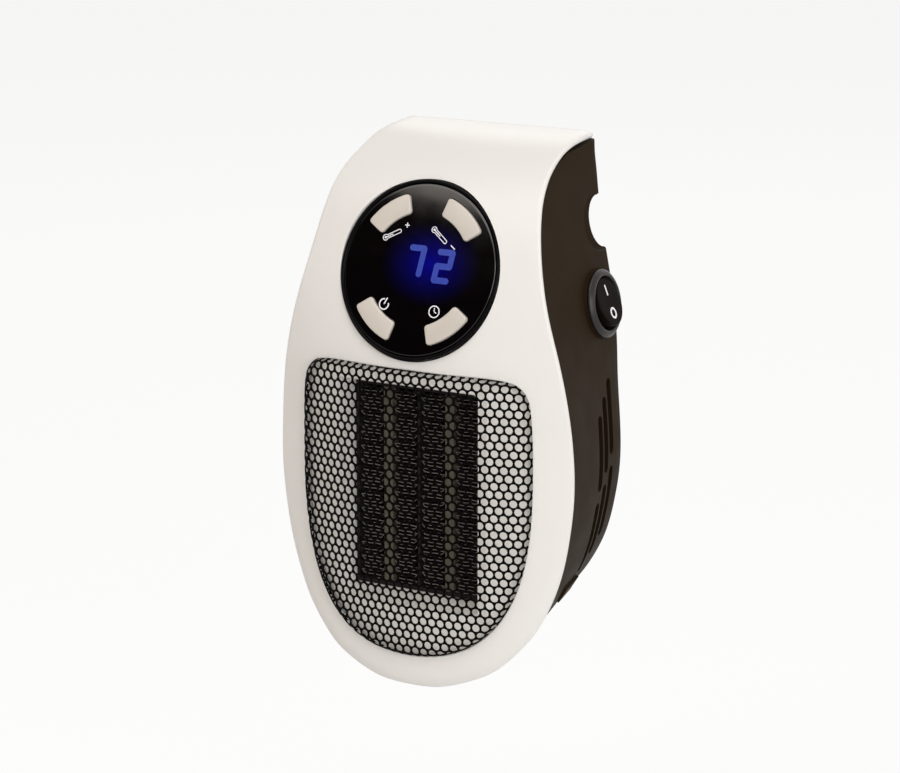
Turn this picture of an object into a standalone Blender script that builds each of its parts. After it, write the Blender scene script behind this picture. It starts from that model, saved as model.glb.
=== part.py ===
"""Plug-in fan heater: a white bowed front cover on a black rear housing that hangs from its own wall plug.

Metres, +Z up. The origin is the centre of the plug's face, where it meets the wall outlet.
+Y runs into the wall and +X to the right as the heater is seen from the front.
"""

import math

import bmesh
import bpy
from mathutils import Matrix, Vector

# Whole heater
HEIGHT = 0.183
PLUG_DROP = 0.022
HALF_WIDTH = 0.057
DEPTH = 0.062
CROWN = 0.0115
GAP = 0.0003
OVERRUN = 0.003

# Shares of the height down from the top edge, of the half width, of the depth of the side edge in front
# of the wall, of the crown across the front and of the draft of the rear housing
STATION_SHARES = (
    (0.000, 0.640, 0.016, 0.00, 0.00),
    (0.008, 0.643, 0.160, 0.03, 0.00),
    (0.019, 0.647, 0.355, 0.07, 0.00),
    (0.036, 0.656, 0.458, 0.14, 0.00),
    (0.064, 0.681, 0.605, 0.26, 0.00),
    (0.095, 0.702, 0.687, 0.30, 0.06),
    (0.161, 0.742, 0.777, 0.31, 0.14),
    (0.228, 0.788, 0.827, 0.31, 0.15),
    (0.296, 0.847, 0.855, 0.45, 0.24),
    (0.365, 0.909, 0.853, 0.66, 0.37),
    (0.437, 0.958, 0.840, 0.84, 0.50),
    (0.545, 0.996, 0.819, 0.98, 0.56),
    (0.618, 1.000, 0.819, 1.00, 0.58),
    (0.692, 0.977, 0.826, 0.96, 0.63),
    (0.767, 0.930, 0.840, 0.86, 0.71),
    (0.828, 0.861, 0.852, 0.79, 0.82),
    (0.886, 0.758, 0.871, 0.69, 0.92),
    (0.917, 0.674, 0.890, 0.57, 0.95),
    (0.952, 0.553, 0.917, 0.43, 0.97),
    (0.979, 0.381, 0.947, 0.26, 0.99),
    (0.995, 0.219, 0.967, 0.13, 1.00),
    (1.000, 0.000, 0.976, 0.00, 1.00),
)
SLOPE_STEP_SHARE = 0.004
TUB_TOP_SHARE = 0.019
ACROSS_SHARES = (0.0, 0.18, 0.36, 0.54, 0.70, 0.84, 0.94, 1.0)

# Grille opening: half outline from the top centre to the bottom centre, in shares of its half width and height
GRILLE_DROP = 0.0745
FRAME_SIDE = 0.013
FRAME_FOOT = 0.0112
GRILLE_HALF_WIDTH = HALF_WIDTH - FRAME_SIDE
GRILLE_HEIGHT = HEIGHT - GRILLE_DROP - FRAME_FOOT
GRILLE_OUTLINE_SHARES = (
    (0.00, 0.000),
    (0.40, 0.001),
    (0.78, 0.006),
    (0.89, 0.020),
    (0.955, 0.052),
    (0.985, 0.110),
    (1.00, 0.300),
    (0.995, 0.450),
    (0.96, 0.600),
    (0.89, 0.725),
    (0.78, 0.828),
    (0.62, 0.912),
    (0.40, 0.970),
    (0.20, 0.993),
    (0.00, 1.000),
)

# Front cover
COVER_WALL = 0.002
POST_RADIUS = 0.0031
POST_INSET = 0.019
POST_RISE = 0.0021
POST_X = HALF_WIDTH - POST_INSET
POST_DROP = GRILLE_DROP - POST_RISE
SCREW_RADIUS = 0.0015

# Rear housing
TUB_WALL = 0.002
TUB_INSET = 0.0008
TUB_SEAT = 0.0008
TUB_DRAFT = 0.0135
TUB_CORNER = 0.0025
TUB_INNER_CORNER = 0.001
REAR_GAP = 0.001
REAR_STEP = 0.0035
RECESS_REACH = 0.0164
RECESS_ROWS = 6
STEP_WALL = 0.0021
STEP_DROP = PLUG_DROP + RECESS_REACH + STEP_WALL
STEP_RAMP = 0.0015
BOSS_WALL = 0.0015
BOSS_DEPTH = 0.006
HEAD_RADIUS = 0.0029
HEAD_DEPTH = 0.0018
HEAD_SINK = 0.0028
LOWER_SCREW_INSET = 0.0375
LOWER_SCREW_RISE = 0.034
LOWER_SCREW_X = HALF_WIDTH - LOWER_SCREW_INSET
LOWER_SCREW_DROP = HEIGHT - LOWER_SCREW_RISE

# Side vents
VENT_WIDTH = 0.003
VENT_PITCH = 0.0048
VENT_REAR = 0.012
VENT_TOP_DROP = 0.081
VENT_STAGGER = 0.0054
VENT_FOOT = 0.047
VENT_BRIDGE = 0.004
UPPER_VENT_SHARE = 0.51
VENT_LENGTHS = HEIGHT - VENT_TOP_DROP - VENT_FOOT - VENT_BRIDGE
UPPER_VENT_LENGTH = VENT_LENGTHS * UPPER_VENT_SHARE
LOWER_VENT_LENGTH = VENT_LENGTHS - UPPER_VENT_LENGTH
VENT_COLUMNS = 3

# Finger scoops
SCOOP_RADIUS = 0.0096
SCOOP_DEPTH = 0.0052
SCOOP_FLOOR = 0.0014
SCOOP_DROP = 0.030
SCOOP_REAR = 0.0046

# Skid under the housing
SKID_LENGTH = 0.012
SKID_WIDTH = 0.006
SKID_STAND = 0.002
SKID_DOWN_SHARE = 0.84
SKID_BACK_SHARE = 0.45

# Control disc, bezel and buttons
DISC_RADIUS = 0.0286
DISC_DROP = 0.0421
DISC_SINK = 0.00128
DISC_TILT = math.radians(17.6)
DISC_THICK = 0.0022
BEZEL_WALL = 0.0012
BEZEL_DEPTH = 0.0042
BEZEL_LIP = 0.0018
BUTTON_INNER_SHARE = 0.664
BUTTON_OUTER_SHARE = 0.898
BUTTON_ANGLE = math.radians(53)
BUTTON_HALF_SPAN = math.radians(19.5)
BUTTON_PROUD = 0.0009
BUTTON_FLANGE = 0.0006
BUTTON_LIP = 0.0007
BUTTON_TRAVEL = 0.0006

# Control board
BOARD_THICK = 0.0014
CONTROL_BOARD_SINK = 0.0062
CONTROL_BOARD_SHARE = 0.89
TACT_SIDE = 0.0045
TACT_SHARE = 0.784
STANDOFF_RADIUS = 0.0015
STANDOFF_SHARE = 0.519
LED_WIDTH = 0.019
LED_HEIGHT = 0.0125
LED_OFFSET_X = 0.0036
LED_OFFSET_Z = 0.002

PLATE_COLUMNS = 12
PLATE_ROWS = 10
GRILLE_THICK = 0.0008
GRILLE_STAND = 0.003
GRILLE_REACH = 0.0003
GRILLE_PITCH = 0.0088
GRILLE_WEB = 0.0018
GRILLE_RIM = 0.0020
GRILLE_HOLE_SIDES = 6

# White outlet pan and its tunnel
PAN_THICK = 0.0015
PAN_MARGIN = 0.0018
PAN_SINK = 0.0028
TUNNEL_WALL = 0.0015
TUNNEL_OFFSET_X = -0.0036
TUNNEL_SIDE = 0.019
TUNNEL_HEAD = 0.0083
TUNNEL_FOOT = 0.0177
TUNNEL_WIDTH = 2 * (GRILLE_HALF_WIDTH - TUNNEL_SIDE)
TUNNEL_HEIGHT = GRILLE_HEIGHT - TUNNEL_HEAD - TUNNEL_FOOT
TUNNEL_DROP = GRILLE_DROP + TUNNEL_HEAD
TUNNEL_FLARE = 0.0027
ELEMENT_SINK = 0.014
ELEMENT_OUT = DEPTH - ELEMENT_SINK
ELEMENT_DEPTH = 0.012

# Heating element
FRAME_THICK = 0.0011
PTC_WIDTH = 0.0034
DIVIDER_THICK = 0.0009
FIN_THICK = 0.0005
FIN_FOLDS = 17
CLAMP_THICK = 0.0012
CUTOUT_SIZE = (0.008, 0.0035, 0.005)

# Fan
FAN_SPACE = ELEMENT_OUT - ELEMENT_DEPTH - REAR_GAP - TUB_WALL
SHROUD_THICK = 0.0015
SHROUD_LENGTH_SHARE = 0.394
SHROUD_LENGTH = FAN_SPACE * SHROUD_LENGTH_SHARE
FAN_MARGIN = 0.0015
FAN_RADIUS = min(TUNNEL_WIDTH, TUNNEL_HEIGHT) / 2 - FAN_MARGIN
TIP_CLEARANCE = 0.001
HUB_RADIUS_SHARE = 0.404
HUB_LENGTH_SHARE = 0.615
HUB_RADIUS = FAN_RADIUS * HUB_RADIUS_SHARE
HUB_LENGTH = SHROUD_LENGTH * HUB_LENGTH_SHARE
BLADE_COUNT = 7
BLADE_THICK = 0.0012
BLADE_PITCH = math.radians(38)
BLADE_CHORD_SHARE = 1.22
BLADE_CHORD = HUB_LENGTH * BLADE_CHORD_SHARE
SHAFT_RADIUS = 0.001
BRACKET_THICK = 0.0015
BRACKET_ARM = 0.004
BRACKET_ARMS = 3
MOTOR_RADIUS_SHARE = 0.489
MOTOR_LENGTH_SHARE = 0.348
MOTOR_RADIUS = FAN_RADIUS * MOTOR_RADIUS_SHARE
MOTOR_LENGTH = FAN_SPACE * MOTOR_LENGTH_SHARE

# Rear intake
INTAKE_MARGIN = 0.0015
INTAKE_RADIUS = FAN_RADIUS + INTAKE_MARGIN
INTAKE_WIDTH = 0.003
INTAKE_ROWS = 7
INTAKE_PITCH = 2 * INTAKE_RADIUS / INTAKE_ROWS

# Power board
POWER_BOARD_INSET = 0.009
POWER_BOARD_WIDTH = HALF_WIDTH - POWER_BOARD_INSET
POWER_BOARD_HEIGHT = 0.030
POWER_BOARD_X = -0.008
POWER_BOARD_DROP = 0.058
POWER_BOARD_OUT_SHARE = 0.29
POWER_BOARD_OUT = DEPTH * POWER_BOARD_OUT_SHARE
BOARD_TALL_SHARE = 0.2
BOARD_TALL = DEPTH * BOARD_TALL_SHARE
BOARD_POST_RADIUS = 0.002
BOARD_POST_INSET = 0.004
RELAY_SIZE = (0.015, 0.0125, BOARD_TALL)
CHOKE_RADIUS = 0.0055
CHOKE_WIRE = 0.0022
CAPACITOR_RADIUS = 0.004
CAPACITOR_LENGTH = BOARD_TALL
TERMINAL_SIZE = (0.010, 0.008, 0.007)
TILT_RADIUS = 0.003
TILT_LENGTH = 0.009
HEAT_SINK_SIZE = (0.0018, 0.012, BOARD_TALL)

# Rocker switch on the right side wall
SWITCH_DROP = 0.055
SWITCH_OUT = 0.0132
SWITCH_PAD_RADIUS = 0.0117
SWITCH_PAD_STAND = 0.0005
SWITCH_PAD_DEPTH = 0.004
SWITCH_BEZEL_RADIUS = 0.0115
SWITCH_BEZEL_THICK = 0.0018
SWITCH_CHAMFER = 0.0012
SWITCH_BODY_RADIUS = 0.0099
SWITCH_BODY_LENGTH = 0.014
SWITCH_BORE_RADIUS = 0.0091
SWITCH_BORE_DEPTH = 0.0062
ROCKER_RADIUS = 0.0083
ROCKER_ABOVE = 0.0031
ROCKER_BELOW = 0.0024
ROCKER_PIVOT_SINK = 0.0005
ROCKER_TILT = math.radians(11)
ROCKER_EDGE = 0.0006
PIVOT_RADIUS = 0.0009
SPADE_SIZE = (0.0048, 0.0008, 0.007)
SPADE_SPREAD = 0.0045

# Wall plug
PLUG_RADIUS = 0.016
PLUG_EDGE = 0.001
PLUG_NECK_RADIUS = 0.0092
RETAINER_RADIUS = 0.0135
RETAINER_THICK = 0.0015
BLADE_SPREAD = 0.00635
BLADE_LENGTH = 0.017
BLADE_TAIL = 0.0035
PLUG_BLADE_THICK = 0.0015
LIVE_BLADE_WIDTH = 0.0063
NEUTRAL_BLADE_WIDTH = 0.0079
BLADE_TIP = 0.0016

ROUND_STEPS = 24
FINE_STEPS = 40
SMALL_STEPS = 10
SMOOTH_ANGLE = math.radians(35)
MERGE = 0.00001

TOP = PLUG_DROP
WHITE = (0.86, 0.85, 0.82)
IVORY = (0.78, 0.76, 0.71)
DARK = (0.030, 0.026, 0.022)
BLACK = (0.010, 0.010, 0.012)
STEEL = (0.60, 0.60, 0.60)
BRASS = (0.72, 0.55, 0.25)
BOARD_GREEN = (0.03, 0.18, 0.08)
STONE = (0.32, 0.31, 0.24)
COPPER = (0.70, 0.33, 0.16)


def clear_scene():
    """Removes whatever objects the file opens with."""
    for item in list(bpy.data.objects):
        bpy.data.objects.remove(item, do_unlink=True)


def new_collection(name):
    group = bpy.data.collections.new(name)
    bpy.context.scene.collection.children.link(group)
    return group


clear_scene()
PARTS = new_collection("plug_in_fan_heater")
CUTTERS = new_collection("cutters")


def finish_of(name, colour, roughness, metallic):
    """One Principled material for one piece."""
    made = bpy.data.materials.new(name)
    made.use_nodes = True
    shader = made.node_tree.nodes["Principled BSDF"]
    shader.inputs["Base Color"].default_value = (*colour, 1.0)
    shader.inputs["Roughness"].default_value = roughness
    shader.inputs["Metallic"].default_value = metallic
    return made


def object_from(name, mesh, place, group):
    item = bpy.data.objects.new(name, mesh)
    item.matrix_world = place
    group.objects.link(item)
    return item


def mesh_from(name, shape):
    mesh = bpy.data.meshes.new(name)
    shape.to_mesh(mesh)
    shape.free()
    return mesh


def piece(name, shape, place, colour, roughness=0.5, metallic=0.0):
    """A named part from a bmesh, with its own material."""
    mesh = mesh_from(name, shape)
    item = object_from(name, mesh, place, PARTS)
    mesh.materials.append(finish_of(name, colour, roughness, metallic))
    return item


def cutter(name, shape, place):
    """A hidden helper solid that a Boolean reads."""
    item = object_from(name, mesh_from(name, shape), place, CUTTERS)
    item.hide_render = True
    item.display_type = "WIRE"
    return item


def boolean(item, other, operation):
    step = item.modifiers.new(f"{operation.lower()} {other.name}", "BOOLEAN")
    step.operation = operation
    step.solver = "EXACT"
    step.object = other


def cut(item, other):
    boolean(item, other, "DIFFERENCE")


def join(item, other):
    boolean(item, other, "UNION")


def settle(item):
    """Replaces the mesh by what its modifiers make of it, shaded smooth over gentle edges."""
    bpy.context.view_layer.update()
    graph = bpy.context.evaluated_depsgraph_get()
    mesh = bpy.data.meshes.new_from_object(item.evaluated_get(graph))
    item.modifiers.clear()
    item.data = mesh
    smooth(item)


def smooth(item):
    item.data.shade_smooth()
    item.data.set_sharp_from_angle(angle=SMOOTH_ANGLE)


def bevel_edges(item, width, segments=1, angle=SMOOTH_ANGLE):
    step = item.modifiers.new("rounded edges", "BEVEL")
    step.width = width
    step.segments = segments
    step.limit_method = "ANGLE"
    step.angle_limit = angle


def at(x, y, z):
    return Matrix.Translation((x, y, z))


def facing(origin, outward, sideways):
    """A frame whose Z runs along outward and whose X lies closest to sideways."""
    axis_z = Vector(outward).normalized()
    axis_y = axis_z.cross(Vector(sideways)).normalized()
    axis_x = axis_y.cross(axis_z)
    turn = Matrix((axis_x, axis_y, axis_z)).transposed().to_4x4()
    return Matrix.Translation(origin) @ turn


def to_wall(x, y, z):
    """A frame whose Z runs into the wall, along +Y, with X kept."""
    return facing((x, y, z), (0, 1, 0), (1, 0, 0))


def box_shape(low, high):
    shape = bmesh.new()
    bmesh.ops.create_cube(shape, size=1.0)
    low = Vector(low)
    high = Vector(high)
    bmesh.ops.scale(shape, vec=high - low, verts=shape.verts)
    bmesh.ops.translate(shape, vec=(high + low) / 2, verts=shape.verts)
    return shape


def rod_shape(radius, low, high, steps=ROUND_STEPS):
    """A cylinder along Z from low to high."""
    shape = bmesh.new()
    bmesh.ops.create_cone(
        shape, cap_ends=True, segments=steps, radius1=radius, radius2=radius, depth=high - low
    )
    bmesh.ops.translate(shape, vec=(0, 0, (high + low) / 2), verts=shape.verts)
    return shape


def prism_shape(outline, low, high):
    """A flat outline in XY carried along Z from low to high."""
    shape = bmesh.new()
    corners = [shape.verts.new((x, y, low)) for x, y in outline]
    base = shape.faces.new(corners)
    lifted = bmesh.ops.extrude_face_region(shape, geom=[base])
    moved = [part for part in lifted["geom"] if isinstance(part, bmesh.types.BMVert)]
    bmesh.ops.translate(shape, vec=(0, 0, high - low), verts=moved)
    bmesh.ops.recalc_face_normals(shape, faces=shape.faces)
    return shape


def turned(name, profile, place, group, steps=ROUND_STEPS, closed=False):
    """A profile of (radius, height) points, listed from the top down, turned round Z."""
    mesh = bpy.data.meshes.new(name)
    corners = [(radius, 0, height) for radius, height in profile]
    edges = [(n, n + 1) for n in range(len(corners) - 1)]
    if closed:
        edges.append((len(corners) - 1, 0))
    mesh.from_pydata(corners, edges, [])
    item = object_from(name, mesh, place, group)
    step = item.modifiers.new("turn", "SCREW")
    step.axis = "Z"
    step.steps = steps
    step.render_steps = steps
    step.use_merge_vertices = True
    step.merge_threshold = MERGE
    return item


def turned_piece(name, profile, place, colour, roughness=0.5, metallic=0.0, steps=ROUND_STEPS, closed=False):
    item = turned(name, profile, place, PARTS, steps, closed)
    item.data.materials.append(finish_of(name, colour, roughness, metallic))
    return item


def turned_cutter(name, profile, place, steps=ROUND_STEPS, closed=False):
    item = turned(name, profile, place, CUTTERS, steps, closed)
    item.hide_render = True
    item.display_type = "WIRE"
    return item


def stadium(width, length, steps=6):
    """A slot's outline, round at both ends, with its length along Y."""
    radius = width / 2
    reach = length / 2 - radius
    points = []
    for end, start in ((reach, 0), (-reach, math.pi)):
        for n in range(steps + 1):
            turn = start + math.pi * n / steps
            points.append((radius * math.cos(turn), end + radius * math.sin(turn)))
    return points


def shares_at(down):
    """The station's shares at any share of the height, read between the table's rows."""
    down = min(max(down, 0.0), 1.0)
    for upper, lower in zip(STATION_SHARES, STATION_SHARES[1:]):
        if down <= lower[0]:
            part = (down - upper[0]) / (lower[0] - upper[0])
            return tuple(a + (b - a) * part for a, b in zip(upper[1:], lower[1:]))
    return STATION_SHARES[-1][1:]


def half_width(down):
    return HALF_WIDTH * shares_at(down)[0]


def cover_point(down, across):
    """A point of the cover's outer face: down from 0 to 1, across from 0 at the middle to 1 at the edge."""
    width, depth, crown, _ = shares_at(down)
    forward = DEPTH * depth + CROWN * crown * (1 - across * across)
    return Vector((HALF_WIDTH * width * across, -forward, TOP - HEIGHT * down))


def cover_normal(down, across):
    """The outward direction of the cover's outer face."""
    step = SLOPE_STEP_SHARE
    down = min(max(down, step), 1 - 2 * step)
    along = cover_point(down + step, across) - cover_point(down - step, across)
    sideways = cover_point(down, min(across + step, 1)) - cover_point(down, min(across + step, 1) - 2 * step)
    return along.cross(sideways).normalized()


def outline_normal(down):
    """The outward direction of the cover's outline, seen from the front, as (x, z)."""
    step = SLOPE_STEP_SHARE
    low = max(down - step, 0)
    high = min(down + step, 1)
    across = half_width(high) - half_width(low)
    fall = HEIGHT * (high - low)
    if down >= 1:
        return Vector((0, -1))
    return Vector((fall, across)).normalized()


def inside_outline(down, inset):
    """A point at a distance inside the cover's outline, as (x, z)."""
    outward = outline_normal(down)
    edge = Vector((half_width(down), TOP - HEIGHT * down))
    inner = edge - outward * inset
    return max(inner.x, 0), inner.y


def cover_at(x, z):
    """Shares down and across of the cover at a place seen from the front."""
    down = (TOP - z) / HEIGHT
    return down, min(abs(x) / max(half_width(down), MERGE), 1)


def behind_cover(x, z, distance):
    """A point at a distance behind the cover's outer face."""
    down, across = cover_at(x, z)
    point = cover_point(down, across)
    return point - cover_normal(down, across) * distance


def sheet(rows):
    """A half sheet from rows of points, ready for a Mirror across X = 0."""
    shape = bmesh.new()
    grid = [[shape.verts.new(point) for point in row] for row in rows]
    for upper, lower in zip(grid, grid[1:]):
        for n in range(len(upper) - 1):
            shape.faces.new((upper[n], lower[n], lower[n + 1], upper[n + 1]))
    bmesh.ops.remove_doubles(shape, verts=shape.verts, dist=MERGE)
    bmesh.ops.dissolve_degenerate(shape, edges=shape.edges, dist=MERGE)
    return shape


def walled_shape(outer, inner):
    """A half shell between an outer and an inner skin, open where its other half meets it."""
    shape = bmesh.new()
    skins = [[[shape.verts.new(point) for point in row] for row in rows] for rows in (outer, inner)]
    face = shape.faces.new
    last = len(outer[0]) - 1
    for (upper, lower), (upper_in, lower_in) in zip(*(zip(skin, skin[1:]) for skin in skins)):
        for n in range(last):
            face((upper[n], lower[n], lower[n + 1], upper[n + 1]))
            face((upper_in[n + 1], lower_in[n + 1], lower_in[n], upper_in[n]))
        face((lower[0], upper[0], upper_in[0], lower_in[0]))
    for n in range(last):
        face((skins[0][0][n], skins[0][0][n + 1], skins[1][0][n + 1], skins[1][0][n]))
    bmesh.ops.remove_doubles(shape, verts=shape.verts, dist=MERGE)
    bmesh.ops.dissolve_degenerate(shape, edges=shape.edges, dist=MERGE)
    return shape


def other_half(item):
    halves = item.modifiers.new("other half", "MIRROR")
    halves.use_axis = (True, False, False)
    halves.use_clip = True
    halves.merge_threshold = MERGE


def shell(item, thickness):
    """Mirrors the half sheet and gives it a wall on its inner side."""
    other_half(item)
    wall = item.modifiers.new("wall", "SOLIDIFY")
    wall.thickness = thickness
    wall.offset = -1
    wall.use_even_offset = True


def cover_y(x, z):
    """Y of the cover's outer face at a place seen from the front."""
    return cover_point(*cover_at(x, z)).y


def plate_shape(sink, thickness, low, high):
    """A plate that follows the cover's face at a depth behind it, from height low to high."""
    reach = GRILLE_HALF_WIDTH + PAN_MARGIN + OVERRUN
    shape = bmesh.new()
    grid = []
    for row in range(PLATE_ROWS + 1):
        z = high + (low - high) * row / PLATE_ROWS
        places = [reach * (2 * n / PLATE_COLUMNS - 1) for n in range(PLATE_COLUMNS + 1)]
        grid.append([shape.verts.new((x, cover_y(x, z) + sink, z)) for x in places])
    for upper, lower in zip(grid, grid[1:]):
        for n in range(PLATE_COLUMNS):
            shape.faces.new((upper[n], lower[n], lower[n + 1], upper[n + 1]))
    lifted = bmesh.ops.extrude_face_region(shape, geom=list(shape.faces))
    moved = [part for part in lifted["geom"] if isinstance(part, bmesh.types.BMVert)]
    bmesh.ops.translate(shape, vec=(0, thickness, 0), verts=moved)
    bmesh.ops.recalc_face_normals(shape, faces=shape.faces)
    return shape


def grille_outline(grow):
    """The grille's whole outline seen from the front, grown outward by a distance."""
    top = TOP - GRILLE_DROP
    half = []
    for share_x, share_z in GRILLE_OUTLINE_SHARES:
        half.append(Vector((GRILLE_HALF_WIDTH * share_x, top - GRILLE_HEIGHT * share_z)))
    loop = half + [Vector((-p.x, p.y)) for p in reversed(half[1:-1])]
    grown = []
    for n, point in enumerate(loop):
        before = loop[n - 1]
        after = loop[(n + 1) % len(loop)]
        along = (after - before).normalized()
        outward = Vector((-along.y, along.x))
        grown.append(point + outward * grow)
    return [(p.x, p.y) for p in grown]


def front_prism(outline, low, high):
    """An outline given as (x, z), carried along Y from low to high."""
    flipped = [(x, -z) for x, z in outline]
    shape = prism_shape(flipped, low, high)
    turn = to_wall(0, 0, 0)
    bmesh.ops.transform(shape, matrix=turn, verts=shape.verts)
    return shape


def disc_frame():
    drop = TOP - DISC_DROP
    centre = (0, cover_y(0, drop) + DISC_SINK, drop)
    outward = (0, -math.cos(DISC_TILT), math.sin(DISC_TILT))
    return facing(centre, outward, (1, 0, 0))


def screw_places():
    """The four housing screws: (name, x, z)."""
    upper = TOP - POST_DROP
    lower = TOP - LOWER_SCREW_DROP
    return (
        ("upper_right", POST_X, upper),
        ("upper_left", -POST_X, upper),
        ("lower_right", LOWER_SCREW_X, lower),
        ("lower_left", -LOWER_SCREW_X, lower),
    )


def post_end():
    """Where a screwed post stops, just in front of the housing's boss."""
    return -(REAR_GAP + BOSS_DEPTH + GAP)


def make_cover():
    rows = []
    for row in STATION_SHARES:
        rows.append([cover_point(row[0], across) for across in ACROSS_SHARES])
    cover = piece("front_cover", sheet(rows), Matrix(), WHITE, 0.25)
    shell(cover, COVER_WALL)
    for name, x, z in screw_places()[:2]:
        start = behind_cover(x, z, COVER_WALL / 2).y
        post = cutter(f"post_{name}", rod_shape(POST_RADIUS, start, post_end()), to_wall(x, 0, z))
        join(cover, post)
        hole = rod_shape(SCREW_RADIUS + GAP, post_end() - screw_reach() - OVERRUN, 0, SMALL_STEPS)
        cut(cover, cutter(f"pilot_{name}", hole, to_wall(x, 0, z)))
    opening = front_prism(grille_outline(GAP), -DEPTH - OVERRUN, -DEPTH / 2)
    cut(cover, cutter("grille_opening", opening, Matrix()))
    hole = rod_shape(DISC_RADIUS + BEZEL_WALL + 2 * GAP, -CONTROL_BOARD_SINK - OVERRUN, OVERRUN, FINE_STEPS)
    cut(cover, cutter("disc_opening", hole, disc_frame()))
    settle(cover)


def tub_front(down, wall=0.0):
    """Front rim of the rear housing, just behind the cover."""
    x, z = inside_outline(down, TUB_INSET + wall)
    return behind_cover(x, z, COVER_WALL + TUB_SEAT)


def tub_rear(down, wall=0.0):
    """Corner of the rear housing's side wall and its rear face; the inner skin steps forward round the plug."""
    draft = TUB_DRAFT * shares_at(down)[3]
    x, z = inside_outline(down, TUB_INSET + draft + wall)
    stepped = wall > 0 and down < STEP_DROP / HEIGHT
    back = REAR_GAP + REAR_STEP if stepped else REAR_GAP
    return Vector((x, -back - wall, z))


def tub_row(down, wall, rounding):
    """One section of the rear housing, from its front rim to the middle of the rear face."""
    front = tub_front(down, wall)
    corner = tub_rear(down, wall)
    if down >= 1:
        front.x = 0
        corner.x = 0
    inner = Vector((0, corner.y, corner.z))
    side = corner - front
    radius = min(rounding, corner.x / 2, side.length / 2)
    before = corner - side.normalized() * radius
    after = corner - Vector((1, 0, 0)) * radius
    row = [front, front.lerp(before, 1 / 2), before]
    row.append((before + after) / 4 + corner / 2)
    row.append(after)
    row.extend(after.lerp(inner, n / 2) for n in range(1, 3))
    return row


def tub_stations():
    """Shares of the height at which the rear housing has a section, with a pair at the rear step."""
    ramp = STEP_RAMP / HEIGHT / 2
    step = STEP_DROP / HEIGHT
    downs = [row[0] for row in STATION_SHARES if row[0] >= TUB_TOP_SHARE and abs(row[0] - step) > 2 * ramp]
    return sorted(downs + [step - ramp, step + ramp])


def wall_frame(drop, out):
    """Frame on the right side wall at a drop below the top and a distance out from the wall: Z outward."""
    z = TOP - drop
    down = drop / HEIGHT
    for _ in range(6):
        front = tub_front(down)
        rear = tub_rear(down)
        part = (-out - front.y) / (rear.y - front.y)
        down += (front.lerp(rear, part).z - z) / HEIGHT
    point = front.lerp(rear, part)
    return surface_frame(down, part, point)


def surface_frame(down, part, point):
    """Frame on the side wall at a section and a share of the way back."""
    step = SLOPE_STEP_SHARE * 4
    above = tub_front(down - step).lerp(tub_rear(down - step), part)
    below = tub_front(down + step).lerp(tub_rear(down + step), part)
    back = tub_rear(down) - tub_front(down)
    outward = back.cross(above - below).normalized()
    if outward.x < 0:
        outward.negate()
    return facing(point, outward, (0, 1, 0))


def mirrored(frame):
    """The same frame on the left side wall."""
    flip = Matrix.Diagonal((-1, 1, 1, 1))
    turn = Matrix.Diagonal((1, -1, 1, 1))
    return flip @ frame @ turn


def scoop_shape():
    """A flattened ball that cuts the finger scoop."""
    shape = bmesh.new()
    bmesh.ops.create_uvsphere(shape, u_segments=18, v_segments=10, radius=1.0)
    bmesh.ops.scale(shape, vec=(SCOOP_RADIUS, SCOOP_RADIUS, SCOOP_DEPTH), verts=shape.verts)
    return shape


def scoop_pad_shape():
    """The thick patch inside the side wall that the scoop is cut into."""
    reach = SCOOP_RADIUS + SCOOP_FLOOR
    low = (-reach, -reach, -SCOOP_DEPTH - SCOOP_FLOOR)
    high = (SCOOP_REAR - GAP, reach, -TUB_WALL / 2)
    return box_shape(low, high)


def add_scoops(tub):
    frame = wall_frame(SCOOP_DROP, SCOOP_REAR + REAR_GAP)
    for side, place in (("right", frame), ("left", mirrored(frame))):
        join(tub, cutter(f"scoop_pad_{side}", scoop_pad_shape(), place))
    for side, place in (("right", frame), ("left", mirrored(frame))):
        cut(tub, cutter(f"scoop_{side}", scoop_shape(), place))


def recess_outline():
    """The recess round the plug as (x, z): inside the side walls, from below the top rim to just below the plug."""
    start = TUB_TOP_SHARE + TUB_WALL / HEIGHT
    end = (PLUG_DROP + RECESS_REACH) / HEIGHT
    right = [tub_rear(start + (end - start) * n / RECESS_ROWS, TUB_WALL) for n in range(RECESS_ROWS + 1)]
    return [(p.x, p.z) for p in right] + [(-p.x, p.z) for p in reversed(right)]


def add_recess(tub):
    """The shallow recess in the rear face in which the plug's disc turns."""
    shape = front_prism(recess_outline(), -REAR_GAP - REAR_STEP, OVERRUN)
    cut(tub, cutter("plug_recess", shape, Matrix()))


def add_vents(tub):
    """Side slots: an upper and a lower row of three, lower towards the front."""
    reach = HALF_WIDTH + OVERRUN
    for n in range(VENT_COLUMNS):
        y = -(VENT_REAR + VENT_PITCH * n)
        top = TOP - VENT_TOP_DROP - VENT_STAGGER * n
        rows = ((top, UPPER_VENT_LENGTH), (top - UPPER_VENT_LENGTH - VENT_BRIDGE, LOWER_VENT_LENGTH))
        for level, (start, length) in enumerate(rows):
            for side, name in ((1, "right"), (-1, "left")):
                place = facing((0, y, start - length / 2), (side, 0, 0), (0, side, 0))
                shape = prism_shape(stadium(VENT_WIDTH, length), TUNNEL_WIDTH / 2, reach)
                cut(tub, cutter(f"vent_{name}_{level}_{n}", shape, place))


def fan_centre():
    return TUNNEL_OFFSET_X, TOP - TUNNEL_DROP - TUNNEL_HEIGHT / 2


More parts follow.
